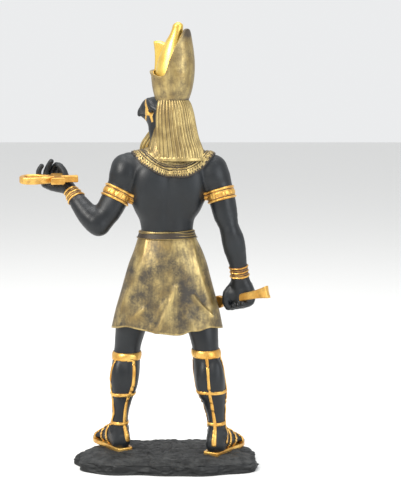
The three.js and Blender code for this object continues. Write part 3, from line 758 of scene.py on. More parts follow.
def plate(polygon, thick, origin, axes, rounding=0.6, hole=None):
    axes = np.array([unit(axis) for axis in axes])

    def field(points):
        local = (points - np.asarray(origin, float)) @ axes.T
        flat = outlineDistance(polygon, local[:, 0], local[:, 1])
        if hole is not None:
            flat = np.maximum(flat, -outlineDistance(hole, local[:, 0], local[:, 1]))
        flat = flat + rounding
        deep = np.abs(local[:, 2]) - thick / 2 + rounding
        outside = np.hypot(np.maximum(flat, 0), np.maximum(deep, 0))
        return np.minimum(np.maximum(flat, deep), 0) + outside - rounding
    return field


# Head

headAxis = np.array([-4.5, 0.4, 0])
ahead = np.array([math.sin(math.radians(60)), -math.cos(math.radians(60)), 0])
aside = np.array([math.cos(math.radians(60)), math.sin(math.radians(60)), 0])
upward = np.array([0, 0, 1.0])


def inHead(forward, sideways, z):
    return headAxis + ahead * forward + aside * sideways + upward * z


def headTube(rows):
    # rows are [forward, sideways, z, half width, half height]
    return tube([[*inHead(*row[:3]), *row[3:]] for row in rows], aside, 3)


falcon = {
    "skull": ((4.0, 0, 240), (13.5, 10.4, 11.6)),
    "brow": [[6, 0, 246.0, 8.4, 6], [13, 0, 244.6, 7.8, 6.2], [17.2, 0, 243.6, 5.6, 6.2]],
    "beak": [
        [15, 0, 243.0, 5.4, 6.4], [19.0, 0, 242.6, 4.2, 4.8], [22, 0, 241.8, 3.1, 3.6],
        [24.6, 0, 240.2, 2.0, 2.5], [25.9, 0, 238.4, 1.1, 1.4],
    ],
    "jaw": [[13, 0, 235.5, 5.6, 4.2], [18, 0, 236.6, 3.6, 2.6], [21.8, 0, 237.4, 1.9, 1.3]],
    "throat": [[8, 0, 238, 9.4, 8.6], [8.4, 0, 230, 8.6, 8.8], [6.4, 0, 220, 8.6, 8.6]],
}


def headForm():
    steps = [("add", ball(inHead(*falcon["skull"][0]), falcon["skull"][1], ahead), 1)]
    for name, soft in (("brow", 3), ("throat", 4), ("jaw", 3), ("beak", 2.5)):
        steps.append(("add", headTube(falcon[name]), soft))
    for hand in (1, -1):
        steps += [
            ("cut", ball(inHead(12.0, 10.4 * hand, 241.6), (3.8, 3.0, 2.6), ahead), 1.5),
            ("add", ball(inHead(11.6, 7.6 * hand, 241.8), (2.2, 2.0, 1.6), ahead), 0.4),
            ("add", headTube([[6.4, 9.6 * hand, 242.4, 1.4, 1.6], [10.6, 9.0 * hand, 244.6, 1.7, 1.9],
                              [14.0, 6.6 * hand, 247.2, 1.8, 1.8],
                              [16.4, 3.6 * hand, 248.6, 1.6, 1.4]]), 1.2),
            ("cut", headTube([[16.5, 5.4 * hand, 237.6, 0.5, 0.4], [20.4, 3.6 * hand, 238.9, 0.5, 0.4],
                              [23.6, 2.1 * hand, 238.6, 0.5, 0.4]]), 0.5),
            ("cut", ball(inHead(19.6, 3.9 * hand, 243.2), (0.8, 0.7, 0.6), ahead), 0.4),
        ]
    return form(*steps)


# The gold mark on each cheek, drawn as [forward, height] seen from the side
faceMark = [
    (18.4, 249.0), (17.2, 246.2), (16.2, 243.6), (17.0, 240.8), (18.2, 238.0), (18.3, 235.0), (17.3, 235.0),
    (16.5, 238.0), (15.0, 238.9), (11.6, 238.7), (10.8, 236.6), (10.0, 234.4), (9.0, 234.8), (9.3, 238.2),
    (8.8, 240.6), (10.4, 239.8), (12.4, 240.4), (14.2, 242.6), (14.8, 245.4), (16.6, 248.6),
]


def castHead():
    skin = headForm()
    points, faces = cast(skin, (-20, -18, 219), (24, 20, 254), 0.42)
    local = points - headAxis
    flat = np.stack([local @ ahead, points[:, 2]], 1)
    sides = np.abs(local @ aside)
    gilt = 1 - ease(outlineDistance(np.array(faceMark), flat[:, 0], flat[:, 1]), -0.1, 0.45)
    gilt *= ease(sides, 1.0, 2.0)
    slope = slopeOf(skin, points)
    normals = slope / np.maximum(np.linalg.norm(slope, axis=1, keepdims=True), 1e-6)
    return (points + normals * 0.3 * gilt[:, None], faces), gilt


headLook = dict(skinLook, dust=0.05)


def markedResin():
    material = resinMaterial("resinHead", headLook)
    tree = material.node_tree
    surface = tree.nodes["Principled BSDF"]
    gilt = attribute(tree, "gilt")
    old = surface.inputs["Base Color"].links[0].from_socket
    tree.links.new(blendColours(tree, gilt, old, brightLook["gold"]), surface.inputs["Base Color"])
    tree.links.new(maths(tree, "MULTIPLY", gilt, 0.75), surface.inputs["Metallic"])
    return material


headMesh, giltMask = castHead()
makePiece("falconHead", headMesh, markedResin(), "figure_and_rock_base", {"gilt": giltMask})


# Wig and its two front tails

facing = math.atan2(ahead[1], ahead[0])
wig = {
    "rows": [
        [249.6, -4.4, 0.5, 10.8, 10.8], [246, -4.9, 0.8, 12.4, 12.0], [240, -5.3, 1.2, 13.8, 12.8],
        [232, -6.0, 2.0, 14.6, 12.8], [224, -7.0, 3.2, 15.4, 12.0], [216, -8.4, 4.6, 16.9, 11.0],
        [209, -9.0, 5.4, 17.6, 10.4],
    ],
    "ribs": 25, "crowding": 0.25, "relief": 0.8, "opening": math.radians(60), "chin": 222, "hem": 2.6,
    "columns": 400, "levels": 80,
}


def ribHeight(phase):
    # a round rib with a narrow groove beside it
    part = phase - np.floor(phase)
    return np.sqrt(np.clip(1 - (2 * part - 1) ** 2, 0, 1))


def wigMesh():
    heights = np.linspace(wig["rows"][0][0], wig["rows"][-1][0], wig["levels"])
    x, y, wide, deep = (column[:, None] for column in lookUp(wig["rows"], heights))
    heights = heights[:, None]
    angles = np.arange(wig["columns"])[None, :] / wig["columns"] * fullTurn
    turned = (angles - facing) % fullTurn
    fromFace = np.minimum(turned, fullTurn - turned)
    inOpening = 1 - ease(fromFace, wig["opening"] - 0.06, wig["opening"] + 0.02)
    share = (turned - wig["opening"]) / (fullTurn - 2 * wig["opening"])
    ribs = ribHeight((share - wig["crowding"] * np.sin(fullTurn * share) / fullTurn) * wig["ribs"])
    fromHem = heights - wig["rows"][-1][0]
    hem = 1 - ease(fromHem, wig["hem"] - 0.3, wig["hem"] + 0.1)
    hemLines = ribHeight(fromHem / wig["hem"] * 2)
    height = ribs * (1 - hem) + hemLines * hem
    top = 1 - ease(heights, wig["rows"][0][0] - 1.6, wig["rows"][0][0])
    raised = np.broadcast_to(height * (1 - inOpening), (wig["levels"], wig["columns"]))
    bare = 0.94 - 0.16 * ease(heights, wig["chin"] - 1, wig["chin"] + 2)
    scale = 1 - (1 - bare) * inOpening
    proud = wig["relief"] * (raised - 1) * (1 - inOpening) + 0.5 * hem
    px = x + (wide * scale + proud) * np.cos(angles)
    py = y + (deep * scale + proud) * np.sin(angles)
    pz = np.broadcast_to(heights, px.shape)
    return loft(np.stack([px, py, pz], -1)), raised * (0.35 + 0.65 * top)


wigShape, wigRaised = wigMesh()
makePiece("wig", wigShape, antiqueGold, "figure_and_rock_base", {"raised": wigRaised})


def ribbedLimb(rows, side, ribs, relief, columns=96, levels=90, across=False):
    fine = spline(rows, levels)
    path = fine[:, :3]
    along = np.gradient(path, axis=0)
    along /= np.linalg.norm(along, axis=1, keepdims=True)
    wideWay = np.asarray(side, float) - along * (along @ np.asarray(side, float))[:, None]
    wideWay /= np.linalg.norm(wideWay, axis=1, keepdims=True)
    deepWay = np.cross(along, wideWay)
    angles = np.arange(columns) / columns * fullTurn
    if across:
        run = np.linalg.norm(np.diff(path, axis=0), axis=1).cumsum()
        height = np.repeat(ribHeight(np.concatenate([[0], run]) / across)[:, None], columns, 1)
    else:
        height = np.repeat(ribHeight(np.arccos(np.cos(angles)) / math.pi * ribs)[None, :], levels, 0)
    proud = relief * (height - 1)
    wide = (fine[:, 3:4] + proud) * np.cos(angles)
    deep = (fine[:, 4:5] + proud) * np.sin(angles)
    rings = path[:, None] + wideWay[:, None] * wide[..., None] + deepWay[:, None] * deep[..., None]
    return loft(rings), height


chestMiddle = -3.4
lappetRows = [
    [7.5, -6.0, 236, 4.0, 3.0], [9.8, -8.4, 227, 4.8, 3.0], [12.6, -9.8, 221.6, 5.4, 3.0],
    [15, -11.0, 216, 6.2, 2.8],
    [14.6, -13.6, 207, 6.4, 2.6], [12.6, -15.2, 196, 6.0, 2.4], [11.6, -15.6, 187, 5.6, 2.2],
]
for sideName, hand in (("left", 1), ("right", -1)):
    rows = [[chestMiddle + row[0] * hand, *row[1:]] for row in lappetRows]
    shape, raised = ribbedLimb(rows, (1, 0, 0), 6, 0.45)
    makePiece(sideName + "Lappet", shape, antiqueGold, "figure_and_rock_base",
              {"raised": raised})


# Broad collar

collar = {
    "middle": (-5.4, -2.4, 222), "radii": (29.6, 29.0, 27.6), "lean": 0.1, "from": (-3.4, 0, 196),
    "inner": 0.42, "proud": 1.5, "columns": 380, "levels": 66,
    "wider": [(128, 24, 0.09), (64, 20, 0.03)],  # where the edge reaches further, in degrees round the neck
}


def collarMesh():
    angles = np.arange(collar["columns"]) / collar["columns"] * fullTurn
    climbs = np.radians(np.linspace(78, -24, 90))
    flat = np.stack([np.cos(angles), np.sin(angles), np.zeros_like(angles)], -1)
    fan = np.cos(climbs)[:, None, None] * flat[None] + np.sin(climbs)[:, None, None] * upward
    starts = np.broadcast_to(np.array(collar["from"], float), fan.shape).copy()
    surface, _ = onSkin(bodySkin, starts, fan, 48, 30)
    lean = collar["lean"]
    turned = np.array([[math.cos(lean), 0, -math.sin(lean)], [0, 1, 0], [math.sin(lean), 0, math.cos(lean)]])
    local = (surface - np.array(collar["middle"])) @ turned.T / np.array(collar["radii"])
    reach = np.linalg.norm(local, axis=-1)
    shares = np.linspace(collar["inner"], 1, collar["levels"])
    wider = sum(amount * bump(np.degrees(angles) - at, spread) for at, spread, amount in collar["wider"])
    directions = np.empty((collar["levels"], collar["columns"], 3))
    for j in range(collar["columns"]):
        order = np.maximum.accumulate(reach[:, j])
        found = np.interp(shares * (1 + wider[j]), order + np.arange(len(order)) * 1e-6, climbs)
        directions[:, j] = np.cos(found)[:, None] * flat[j] + np.sin(found)[:, None] * upward
    starts = np.broadcast_to(np.array(collar["from"], float), directions.shape).copy()
    points, normals = onSkin(bodySkin, starts, directions, 48, 30)
    share = shares[:, None]
    turns = angles[None, :] / fullTurn
    ring = bump(share - 0.82, 0.018) + 0.5 * bump(share - 0.765, 0.012)
    beads = ease(share, 0.6, 0.62) * (1 - ease(share, 0.73, 0.75)) * (0.2 + 0.4 * ribHeight(turns * 110))
    along = np.clip((share - 0.85) / 0.12, 0, 1)
    petals = ease(share, 0.85, 0.862) * ease(1 - along - np.abs(turns * 76 % 1 - 0.5) * 1.5, 0, 0.25)
    between = ease(0.36 - np.abs((turns * 76 + 0.5) % 1 - 0.5), 0, 0.2)
    drops = ease(share, 0.9, 0.91) * (1 - ease(share, 0.965, 0.98)) * between
    inside = (1 - ease(share, 0.58, 0.6)) * ribHeight(share * 22)
    raised = np.clip(ring + beads + 0.85 * petals + 0.6 * drops + 0.5 * inside, 0, 1)
    lift = collar["proud"] - 0.55 + 0.55 * raised
    top = points + normals * lift[..., None]
    return slab(top, points - normals * 0.6, True), np.concatenate([raised.ravel(), np.zeros(raised.size)])


collarShape, collarRaised = collarMesh()
makePiece("broadCollar", collarShape, antiqueGold, "figure_and_rock_base",
          {"raised": collarRaised})


# Double crown

crownSeam = 248.5
cup = {
    "rows": [
        [248.5, 10.9], [254, 12.7], [261, 14.0], [268, 14.5], [275, 14.3], [282, 13.4], [289, 12.1],
        [295.5, 10.8],
    ],
    "frontTop": 268.6, "sideTop": 264.5, "spikeTop": 295.5, "wall": 1.8, "floor": 258, "flare": 1.1,
    "tipDark": 0.7,
    "leaf": [(0, 0), (0.1, 0.05), (0.18, 0.2), (0.235, 0.36), (0.35, 0.56), (0.51, 0.735), (0.645, 0.872),
             (0.8, 0.965), (0.9, 0.995), (1, 1)],
    "columns": 240, "levels": 56,
}


def crownAxis(z):
    share = (z - crownSeam) / 48
    x = -4.5 - 1.3 * share
    y = 0.3 + 0.7 * share
    return np.stack([x, y, np.zeros_like(x)], -1)


def cupMesh():
    angles = np.arange(cup["columns"]) / cup["columns"] * fullTurn
    fromFace = np.arccos(np.cos(angles))
    share = np.clip((fromFace - math.pi / 2) / (math.pi / 2), 0, 1)
    rise = lookUp(cup["leaf"], share)[0]
    behind = cup["sideTop"] + (cup["spikeTop"] - cup["sideTop"]) * rise
    infront = cup["frontTop"] + (cup["sideTop"] - cup["frontTop"]) * np.sin(fromFace) ** 2
    tops = np.where(fromFace < math.pi / 2, infront, behind)
    way = ahead * np.cos(angles)[:, None] + aside * np.sin(angles)[:, None]
    rings, raised = [], []

    def ring(z, inset, flare, mark):
        radius = lookUp(cup["rows"], z)[0] - inset + flare * np.maximum(0, np.cos(fromFace))
        rings.append(crownAxis(z) + way * radius[:, None] + upward * z[:, None])
        raised.append(mark - cup["tipDark"] * ease(z, 288.5, 295))

    rising = np.linspace(0, 1, cup["levels"])
    for part in rising:
        z = crownSeam + (tops - crownSeam) * part
        lip = ease(part, 0.86, 1)
        ring(z, 0, cup["flare"] * lip, 0.45 + 0.4 * ease(part, 0.93, 1) - 0.35 * (1 - ease(part, 0, 0.06)))
    for inset in (0.25, 0.6, 1.1, 1.55, cup["wall"]):
        lift = 0.35 * math.sin(math.pi * inset / cup["wall"])
        ring(tops + lift, inset, cup["flare"] * (1 - inset / cup["wall"]), 0.8)
    for part in np.linspace(0.05, 1, 24):
        z = tops + (cup["floor"] - tops) * part
        ring(z, cup["wall"] + 0.8 * part, 0, 0.3)
    return loft(np.array(rings)), np.concatenate(raised)


cupShape, cupRaised = cupMesh()
makePiece("redCrown", cupShape, crownGold, "figure_and_rock_base", {"raised": cupRaised})

bulbRows = [
    [256, -4.7, 0.4, 11.0, 11.0], [264, -4.8, 0.4, 11.6, 11.6], [272, -5.1, 0.5, 10.8, 10.8],
    [280, -5.6, 0.7, 8.8, 8.8], [287, -6.4, 1.1, 6.4, 6.4], [291.5, -7.3, 1.6, 4.6, 4.6],
    [295.5, -8.1, 2.0, 3.7, 3.7], [298.4, -8.5, 2.2, 3.2, 3.2], [300, -8.6, 2.2, 1.0, 1.0],
]


def levelRings(rows, heights, columns, scale=lambda angle, z: 1.0, proud=0.0):
    x, y, wide, deep = (column[:, None] for column in lookUp(rows, heights))
    angles = np.arange(columns)[None, :] / columns * fullTurn
    grow = scale(angles, heights[:, None])
    px = x + (wide * grow + proud) * np.cos(angles)
    py = y + (deep * grow + proud) * np.sin(angles)
    return np.stack([px, py, np.broadcast_to(heights[:, None], px.shape)], -1)


bulbHeights = 300 - 44 * np.linspace(0, 1, 90) ** 1.6
bulbRings = levelRings(bulbRows, bulbHeights, 96)
makePiece("whiteCrown", loft(bulbRings), bulbGold, "figure_and_rock_base",
          {"raised": np.full(bulbRings.shape[:2], 0.6)})


curlOutline = outline((2, 262), [(14.6, 264)], [(12.2, 277), (14.6, 287.4)], [(11, 288.6), (7.2, 286.8)],
                      [(2, 286)])
curlAt = crownAxis(np.array(276.0))
curlForm = plate(curlOutline, 4.4, curlAt, (ahead, upward, np.cross(ahead, upward)), 1.2)
curlMesh = cast(curlForm, (-8, -12, 260), (14, 6, 290), 0.5)
makePiece("crownCurl", curlMesh, bulbGold, "figure_and_rock_base",
          {"raised": np.full(len(curlMesh[0]), 0.55)})


# Kilt, belt and apron

beltTop, kiltHem = 161.6, 94.6
kilt = {
    "rows": [
        [161.6, -0.7, -0.8, 17.6, 11.8], [156, -0.8, -0.6, 19.8, 13.2], [148, -1.4, -0.2, 23.0, 15.6],
        [139, -1.3, 0.0, 26.4, 17.6], [130, -1.1, -0.4, 28.9, 19.0], [120, -1.0, -1.0, 31.6, 20.2],
        [108, -0.8, -1.6, 35.0, 21.6], [94.6, -0.6, -2.0, 38.0, 22.6],
    ],
    # crisp fold lines on the back, as [x, z] points, with height and half width
    "creases": [
        ([[12.9, 157], [14.6, 146], [18, 136], [22, 126], [25, 116]], 0.7, 2.2),
        ([[-18.2, 157], [-20.2, 144], [-23, 133], [-27.2, 121.8], [-30.2, 111.6], [-30.4, 103.4]], 0.8, 1.9),
        ([[-6.9, 126], [-4.4, 118.6], [-0.5, 108.5], [2.7, 102], [6.8, 94]], 1.5, 1.5),
        ([[-0.6, 117], [3.4, 111.6], [6.8, 104], [10, 98]], 0.7, 1.3),
        ([[14.6, 109.4], [19.3, 104.6], [23.8, 99.6]], 1.3, 1.5),
        ([[-18.2, 119.4], [-22.3, 113.5], [-26.8, 107.8], [-30.6, 102.8]], 1.3, 1.3),
        ([[-13, 106], [-17, 101], [-19, 94]], 0.7, 2.0), ([[26, 121], [29, 110], [31, 100]], 0.6, 1.8),
    ],
    # broad lighter and darker areas put into the paint: the lighter ones are mostly painted highlights where
    # light catches the folds, the darker ones partly patina and partly painted shade between folds; x, z,
    # spread in x and z, and how much
    "paintedLightAndPatina": [
        [-2, 158, 30, 14, 0.34], [15, 148, 6, 12, 0.2], [-20, 142, 5, 14, 0.2], [15, 133, 7, 8, -0.3],
        [-14, 120, 7, 13, -0.34], [-9, 101, 6, 7, -0.26], [22, 136, 3, 11, -0.22], [9, 106, 4, 8, -0.2],
        [-20, 99, 5, 4, 0.3], [28, 104, 8, 10, 0.06], [-2, 144, 5, 5, -0.2], [-24, 112, 3, 7, -0.2],
        [20, 119, 6, 6, -0.12], [3, 128, 7, 7, 0.05],
    ],
    "dips": [[26, 3.4, 9], [14, 1.2, 6], [-8, -1.2, 8], [-17.4, 1.4, 4], [-30, 2.6, 7]],
        "columns": 360, "levels": 124, "hollow": 7.0,
}


def lineDistance(points, line):
    # how far flat points are from a line through a few points
    line = np.asarray(line, float)
    best = np.full(points.shape[:-1], farAway)
    for start, end in zip(line, line[1:]):
        span = end - start
        share = np.clip((points - start) @ span / (span @ span), 0, 1)
        best = np.minimum(best, np.linalg.norm(points - start - share[..., None] * span, axis=-1))
    return best


def kiltMesh():
    angles = np.arange(kilt["columns"]) / kilt["columns"] * fullTurn
    heights = np.linspace(beltTop, kiltHem, kilt["levels"])
    rings = levelRings(kilt["rows"], heights, kilt["columns"])
    behind = ease(np.sin(angles), 0.02, 0.2)[None, :]
    flat = rings[..., [0, 2]]
    relief = np.zeros(rings.shape[:2])
    raised = np.full(rings.shape[:2], 0.4)
    for line, high, wide in kilt["creases"]:
        away = lineDistance(flat, line)
        relief += high * bump(away, wide) - 0.15 * high * bump(away, 3.2 * wide)
        raised += 0.3 * high * bump(away, wide)
    # painted highlights and painted shade, with some patina, added to how much gold paint is left
    for x, z, spreadX, spreadZ, amount in kilt["paintedLightAndPatina"]:
        raised += 0.6 * amount * bump((flat[..., 0] - x) / spreadX, 1) * bump((flat[..., 1] - z) / spreadZ, 1)
    fall = (beltTop - heights[:, None]) / (beltTop - kiltHem)
    front = ease(-np.sin(angles), 0.06, 0.2)[None, :]
    relief = relief * behind + 0.45 * front * fall * np.sin(angles * 26)
    raised = raised * behind + (1 - behind) * (0.42 + 0.12 * np.sin(angles * 26))
    out = np.stack([np.cos(angles), np.sin(angles), np.zeros_like(angles)], -1)
    rings = rings + out * relief[..., None]
    rise = sum(high * bump(rings[-1][:, 0] - x, wide) for x, high, wide in kilt["dips"]) * behind[0]
    rings[..., 2] += rise * ease(fall, 0.55, 1)
    raised[-2:] = 0.85
    stacked, marks = [rings], [raised]
    middle = np.array([-0.6, -2.0, 0])
    last = rings[-1]
    flat = last - upward * last[:, 2:3]
    hemProfile = ((0.3, -0.25), (1.0, -0.3), (1.6, -0.2), (2.0, 0.2), (2.8, 3.5), (4.2, kilt["hollow"]))
    for inset, lift in hemProfile:
        away = flat - middle
        far = np.linalg.norm(away, axis=1, keepdims=True)
        ring = middle + away * (1 - inset / far) + upward * (last[:, 2:3] + lift)
        stacked.append(ring[None])
        marks.append(np.full((1, kilt["columns"]), 0.85 if inset < 1.5 else 0.0))
    return loft(np.concatenate(stacked)), np.concatenate(marks)


kiltShapeMesh, kiltPaintAndLight = kiltMesh()
makePiece("kilt", kiltShapeMesh, kiltGold, "figure_and_rock_base", {"raised": kiltPaintAndLight})

belt = {"low": 156.5, "high": 161.4, "slant": 0.058, "columns": 288, "levels": 44}


def beltMesh():
    angles = np.arange(belt["columns"]) / belt["columns"] * fullTurn
    share = np.linspace(1, 0, belt["levels"])[:, None]
    across = 17.5 * np.cos(angles)[None, :]
    behind = ease(np.sin(angles), 0, 0.2)[None, :]
    z = belt["low"] + (belt["high"] - belt["slant"] * across * behind - belt["low"]) * share
    # thin light rims, and folds that spread out towards the figure's right
    spread = ease(-across, 2, 15) * behind
    lines = bump(share - 0.94, 0.05) + bump(share - 0.07, 0.05)
    for start, end in ((0.92, 0.62), (0.5, 0.36)):
        lines = lines + bump(share - start + (start - end) * spread, 0.05) * spread
    raised = np.clip(lines, 0, 1)
    sections = lookUp(kilt["rows"], np.minimum(z, beltTop).ravel())
    x, y, wide, deep = (column.reshape(z.shape) for column in sections)
    proud = 0.6 + 0.6 * raised - 1.2 * (ease(share, 0.97, 1) + 1 - ease(share, 0, 0.03))
    rings = np.stack([x + (wide + proud) * np.cos(angles), y + (deep + proud) * np.sin(angles), z], -1)
    return loft(rings), 0.16 + 0.84 * raised


beltShape, beltRaised = beltMesh()
makePiece("belt", beltShape, antiqueGold, "figure_and_rock_base", {"raised": beltRaised})

apronRows = [
    [-0.6, -12.6, 160, 5.0, 1.6], [-0.6, -16.4, 146, 6.4, 1.8], [-0.6, -20.0, 128, 8.4, 2.0],
    [-0.6, -23.4, 108, 10.8, 2.2], [-0.6, -24.6, 92, 12.4, 2.2],
]
apronShape, apronRaised = ribbedLimb(apronRows, (1, 0, 0), 9, 0.5, 144)
makePiece("apron", apronShape, brightGold, "figure_and_rock_base", {"raised": apronRaised})


# Bands laid on the arms

def sleeve(form, rows, side, low, high, levels, columns, relief, proud):
    # a band round a limb between two shares of its length; relief(share, angle) goes from 0 to 1
    fine = spline(rows, 400)[:, :3]
    along = np.gradient(fine, axis=0)
    run = np.concatenate([[0], np.linalg.norm(np.diff(fine, axis=0), axis=1).cumsum()])
    places = (low + (high - low) * np.linspace(0, 1, levels)) * run[-1]
    centre = np.stack([np.interp(places, run, fine[:, k]) for k in range(3)], -1)
    way = np.stack([np.interp(places, run, along[:, k]) for k in range(3)], -1)
    way = np.broadcast_to(unit(way.mean(0)), way.shape)
    wideWay = unit(np.asarray(side, float) - way[0] * (way[0] @ np.asarray(side, float)))
    deepWay = np.cross(way[0], wideWay)
    angles = np.arange(columns) / columns * fullTurn
    flat = wideWay * np.cos(angles)[:, None] + deepWay * np.sin(angles)[:, None]
    starts = np.repeat(centre[:, None], columns, 1)
    directions = np.broadcast_to(flat[None], starts.shape).copy()
    points, normals = onSkin(form, starts, directions, 14, 22)
    raised = relief(np.linspace(0, 1, levels)[:, None], angles[None, :])
    raised = np.broadcast_to(raised, points.shape[:2])
    top = points + normals * (0.3 + (proud - 0.15) * raised)[..., None]
    return slab(top, points - normals * 0.5, True), np.concatenate([raised.ravel(), np.zeros(raised.size)])


def cuffRelief(share, angle):
    rims = bump(share - 0.1, 0.085) + bump(share - 0.9, 0.085)
    inner = bump(share - 0.3, 0.03) + bump(share - 0.7, 0.03)
    bars = ribHeight(angle / fullTurn * 14) ** 0.5
    cells = ease(share, 0.33, 0.37) * (1 - ease(share, 0.63, 0.67)) * (0.35 + 0.4 * bars)
    return np.clip(rims + 0.6 * inner + cells, 0, 1)


def bangleRelief(share, angle):
    lines = sum(bump(share - at, 0.055) for at in (0.1, 0.5, 0.9))
    middle = 0.3 * bump(share - 0.3, 0.05) + 0.3 * bump(share - 0.7, 0.05)
    return np.clip(lines + middle + 0 * angle, 0, 1)


armBands = {
    "leftArmband": (leftArm["upper"], leftArm["side"], 0.44, 0.62, cuffRelief, 1.1, 36),
    "rightArmband": (rightArm["rows"], rightArm["side"], 0.235, 0.33, cuffRelief, 1.1, 36),
    "leftBracelet": (leftArm["fore"], leftArm["side"], 0.65, 0.88, bangleRelief, 0.9, 36),
    "rightBracelet": (rightArm["rows"], rightArm["side"], 0.86, 0.955, bangleRelief, 0.9, 36),
}
for name, (rows, side, low, high, relief, proud, levels) in armBands.items():
    shape, raised = sleeve(bodySkin, rows, side, low, high, levels, 140, relief, proud)
    makePiece(name, shape, brightGold, "figure_and_rock_base", {"raised": raised})


# Legs, sandals and laces

baseTop = 9.6
soleTop = baseTop + 1.9
soleThick = 3.1
legs = {
    "left": {
        "hand": 1, "bands": (72.2, 77.8, 49.0, 28.0),
        "laces": [
            [[73, 46], [66, 37], [58, 32], [49, 31], [42, 38], [36, 46], [31, 34], [26, 22]],
            [[73, 118], [60, 122], [49, 120], [38, 118], [28, 120], [16, 124]],
            [[73, 215], [50, 212], [27, 215]], [[73, 300], [50, 303], [27, 300]],
        ],
        "rows": [
            [110, 19.6, -2.6, 10.5, 11.0], [97, 23.2, -3.6, 10.8, 11.4], [88, 25.2, -5.0, 9.8, 10.8],
            [80, 26.6, -5.4, 9.0, 10.0], [72, 27.4, -4.6, 9.4, 10.2], [62, 28.3, -3.4, 9.8, 10.8],
            [52, 29.3, -3.2, 8.7, 9.6], [43, 30.8, -3.8, 6.9, 7.6], [34, 31.9, -4.4, 5.6, 6.4],
            [27, 32.4, -4.8, 5.5, 6.5], [11, 32.6, -5.0, 5.4, 6.6],
        ],
    },
    "right": {
        "hand": -1, "bands": (75.6, 81.2, 53.0, 30.4),
        "laces": [
            [[77, 90], [68, 88], [58, 84], [48, 80], [38, 78], [30, 79], [16, 76]],
            [[77, 170], [60, 173], [46, 168], [30, 172], [16, 168]],
            [[77, 264], [50, 262], [27, 264]], [[77, 350], [50, 353], [27, 350]],
        ],
        "rows": [
            [110, -20.0, -0.2, 10.5, 11.0], [97, -24.0, 1.2, 10.8, 11.0], [88, -25.8, 2.2, 9.6, 10.8],
            [80, -26.9, 3.0, 8.9, 10.0], [72, -28.1, 4.4, 9.5, 10.4], [62, -29.4, 6.0, 10.4, 11.2],
            [52, -31.1, 6.4, 9.6, 10.0], [43, -32.8, 6.2, 7.5, 8.0], [34, -33.9, 6.0, 5.8, 6.6],
            [27, -34.4, 6.0, 5.8, 6.7], [11, -34.6, 6.0, 5.6, 6.8],
        ],
    },
}
footRows = [
    [-6.6, 3.4, 7], [-4.8, 4.8, 12], [0, 5.6, 17], [8, 6.2, 13.6], [15, 6.6, 9.6], [21, 6.8, 6.6],
    [25, 6.2, 5.0],
]
toeRows = [[6.2, 4.6, 30.2, 2.3], [2.4, 2.0, 30.6, 1.9], [-0.8, -0.9, 29.6, 1.75], [-3.6, -3.7, 28.2, 1.65],
           [-6.2, -6.4, 26.0, 1.6]]


def footAxes(leg):
    hand = leg["hand"]
    toes = np.array([math.sin(math.radians(30)) * hand, -math.cos(math.radians(30)), 0])
    across = np.array([math.cos(math.radians(30)), math.sin(math.radians(30)) * hand, 0])
    ankle = np.array([leg["rows"][-1][1], leg["rows"][-1][2], 0.0])
    return ankle, toes, across


def legForm(leg):
    ankle, toes, across = footAxes(leg)
    hand = leg["hand"]
    rows = leg["rows"]
    calf = lookUp(rows, np.array([60.0]))
    x, y = calf[0][0], calf[1][0]
    knee = lookUp(rows, np.array([82.0]))

    def inFoot(forward, sideways, z):
        return ankle + toes * forward + across * sideways + upward * z
    steps = [
        ("add", stack(rows), 1),
        ("add", ball((x - 3.9, y + 5.6, 62), (5.0, 5.4, 13)), 3),
        ("add", ball((x + 3.9, y + 5.4, 60), (4.8, 5.2, 12)), 3),
        ("add", ball((knee[0][0] + 1.5 * hand, knee[1][0] - 7.6, 83), (4.6, 3.6, 5.2)), 3),
        ("add", tube([[*inFoot(-4.4, 0, 44), 2.6, 2.6], [*inFoot(-5.0, 0, 26), 2.2, 2.2],
                      [*inFoot(-4.6, 0, 15), 3.0, 2.6]]), 3),
        ("add", ball(inFoot(0.6, 5.2, 23.5), (2.4, 2.4, 2.8)), 2),
        ("add", ball(inFoot(0.6, -5.2, 22.6), (2.4, 2.4, 2.8)), 2),
        ("add", ball(inFoot(-3.4, 0, 15.0), (4.8, 4.8, 4.6)), 2.5),
    ]
    body = [[*inFoot(forward, 0, soleTop + high * 0.45), wide, high * 0.55]
            for forward, wide, high in footRows]
    steps.append(("add", tube(body, across), 2.5))
    # the great toe is on the inner side
    for start, end, reach, thick in toeRows:
        steps.append(("add", tube([
            [*inFoot(21, -start * hand, soleTop + 3.0), thick * 1.1, thick],
            [*inFoot(reach - 3, -end * hand, soleTop + thick * 1.2), thick, thick],
            [*inFoot(reach - 1.2, -end * hand, soleTop + thick * 0.8), thick * 0.95, thick * 0.8],
        ], across), 0.8))

    def field(points):
        return np.maximum(form(*steps)(points), soleTop - 0.3 - points[:, 2])
    return field


def skinOfLeg(form, leg, heights, angles):
    # where level rays from the leg's middle leave its skin
    x, y, _, _ = lookUp(leg["rows"], heights.ravel())
    starts = np.stack([x, y, heights.ravel()], -1).reshape(*heights.shape, 3)
    directions = np.stack([np.cos(angles), np.sin(angles), np.zeros_like(angles)], -1)
    return onSkin(form, starts, directions, 18, 24)


def legBand(form, leg, low, high, relief, proud, levels=16, columns=112):
    heights, angles = np.meshgrid(np.linspace(high, low, levels), np.arange(columns) / columns * fullTurn,
                                  indexing="ij")
    points, normals = skinOfLeg(form, leg, heights, angles)
    raised = np.clip(relief((high - heights) / (high - low), angles), 0, 1)
    top = points + normals * (0.1 + proud * raised)[..., None]
    return slab(top, points - normals * 0.5, True), np.concatenate([raised.ravel(), np.zeros(raised.size)])


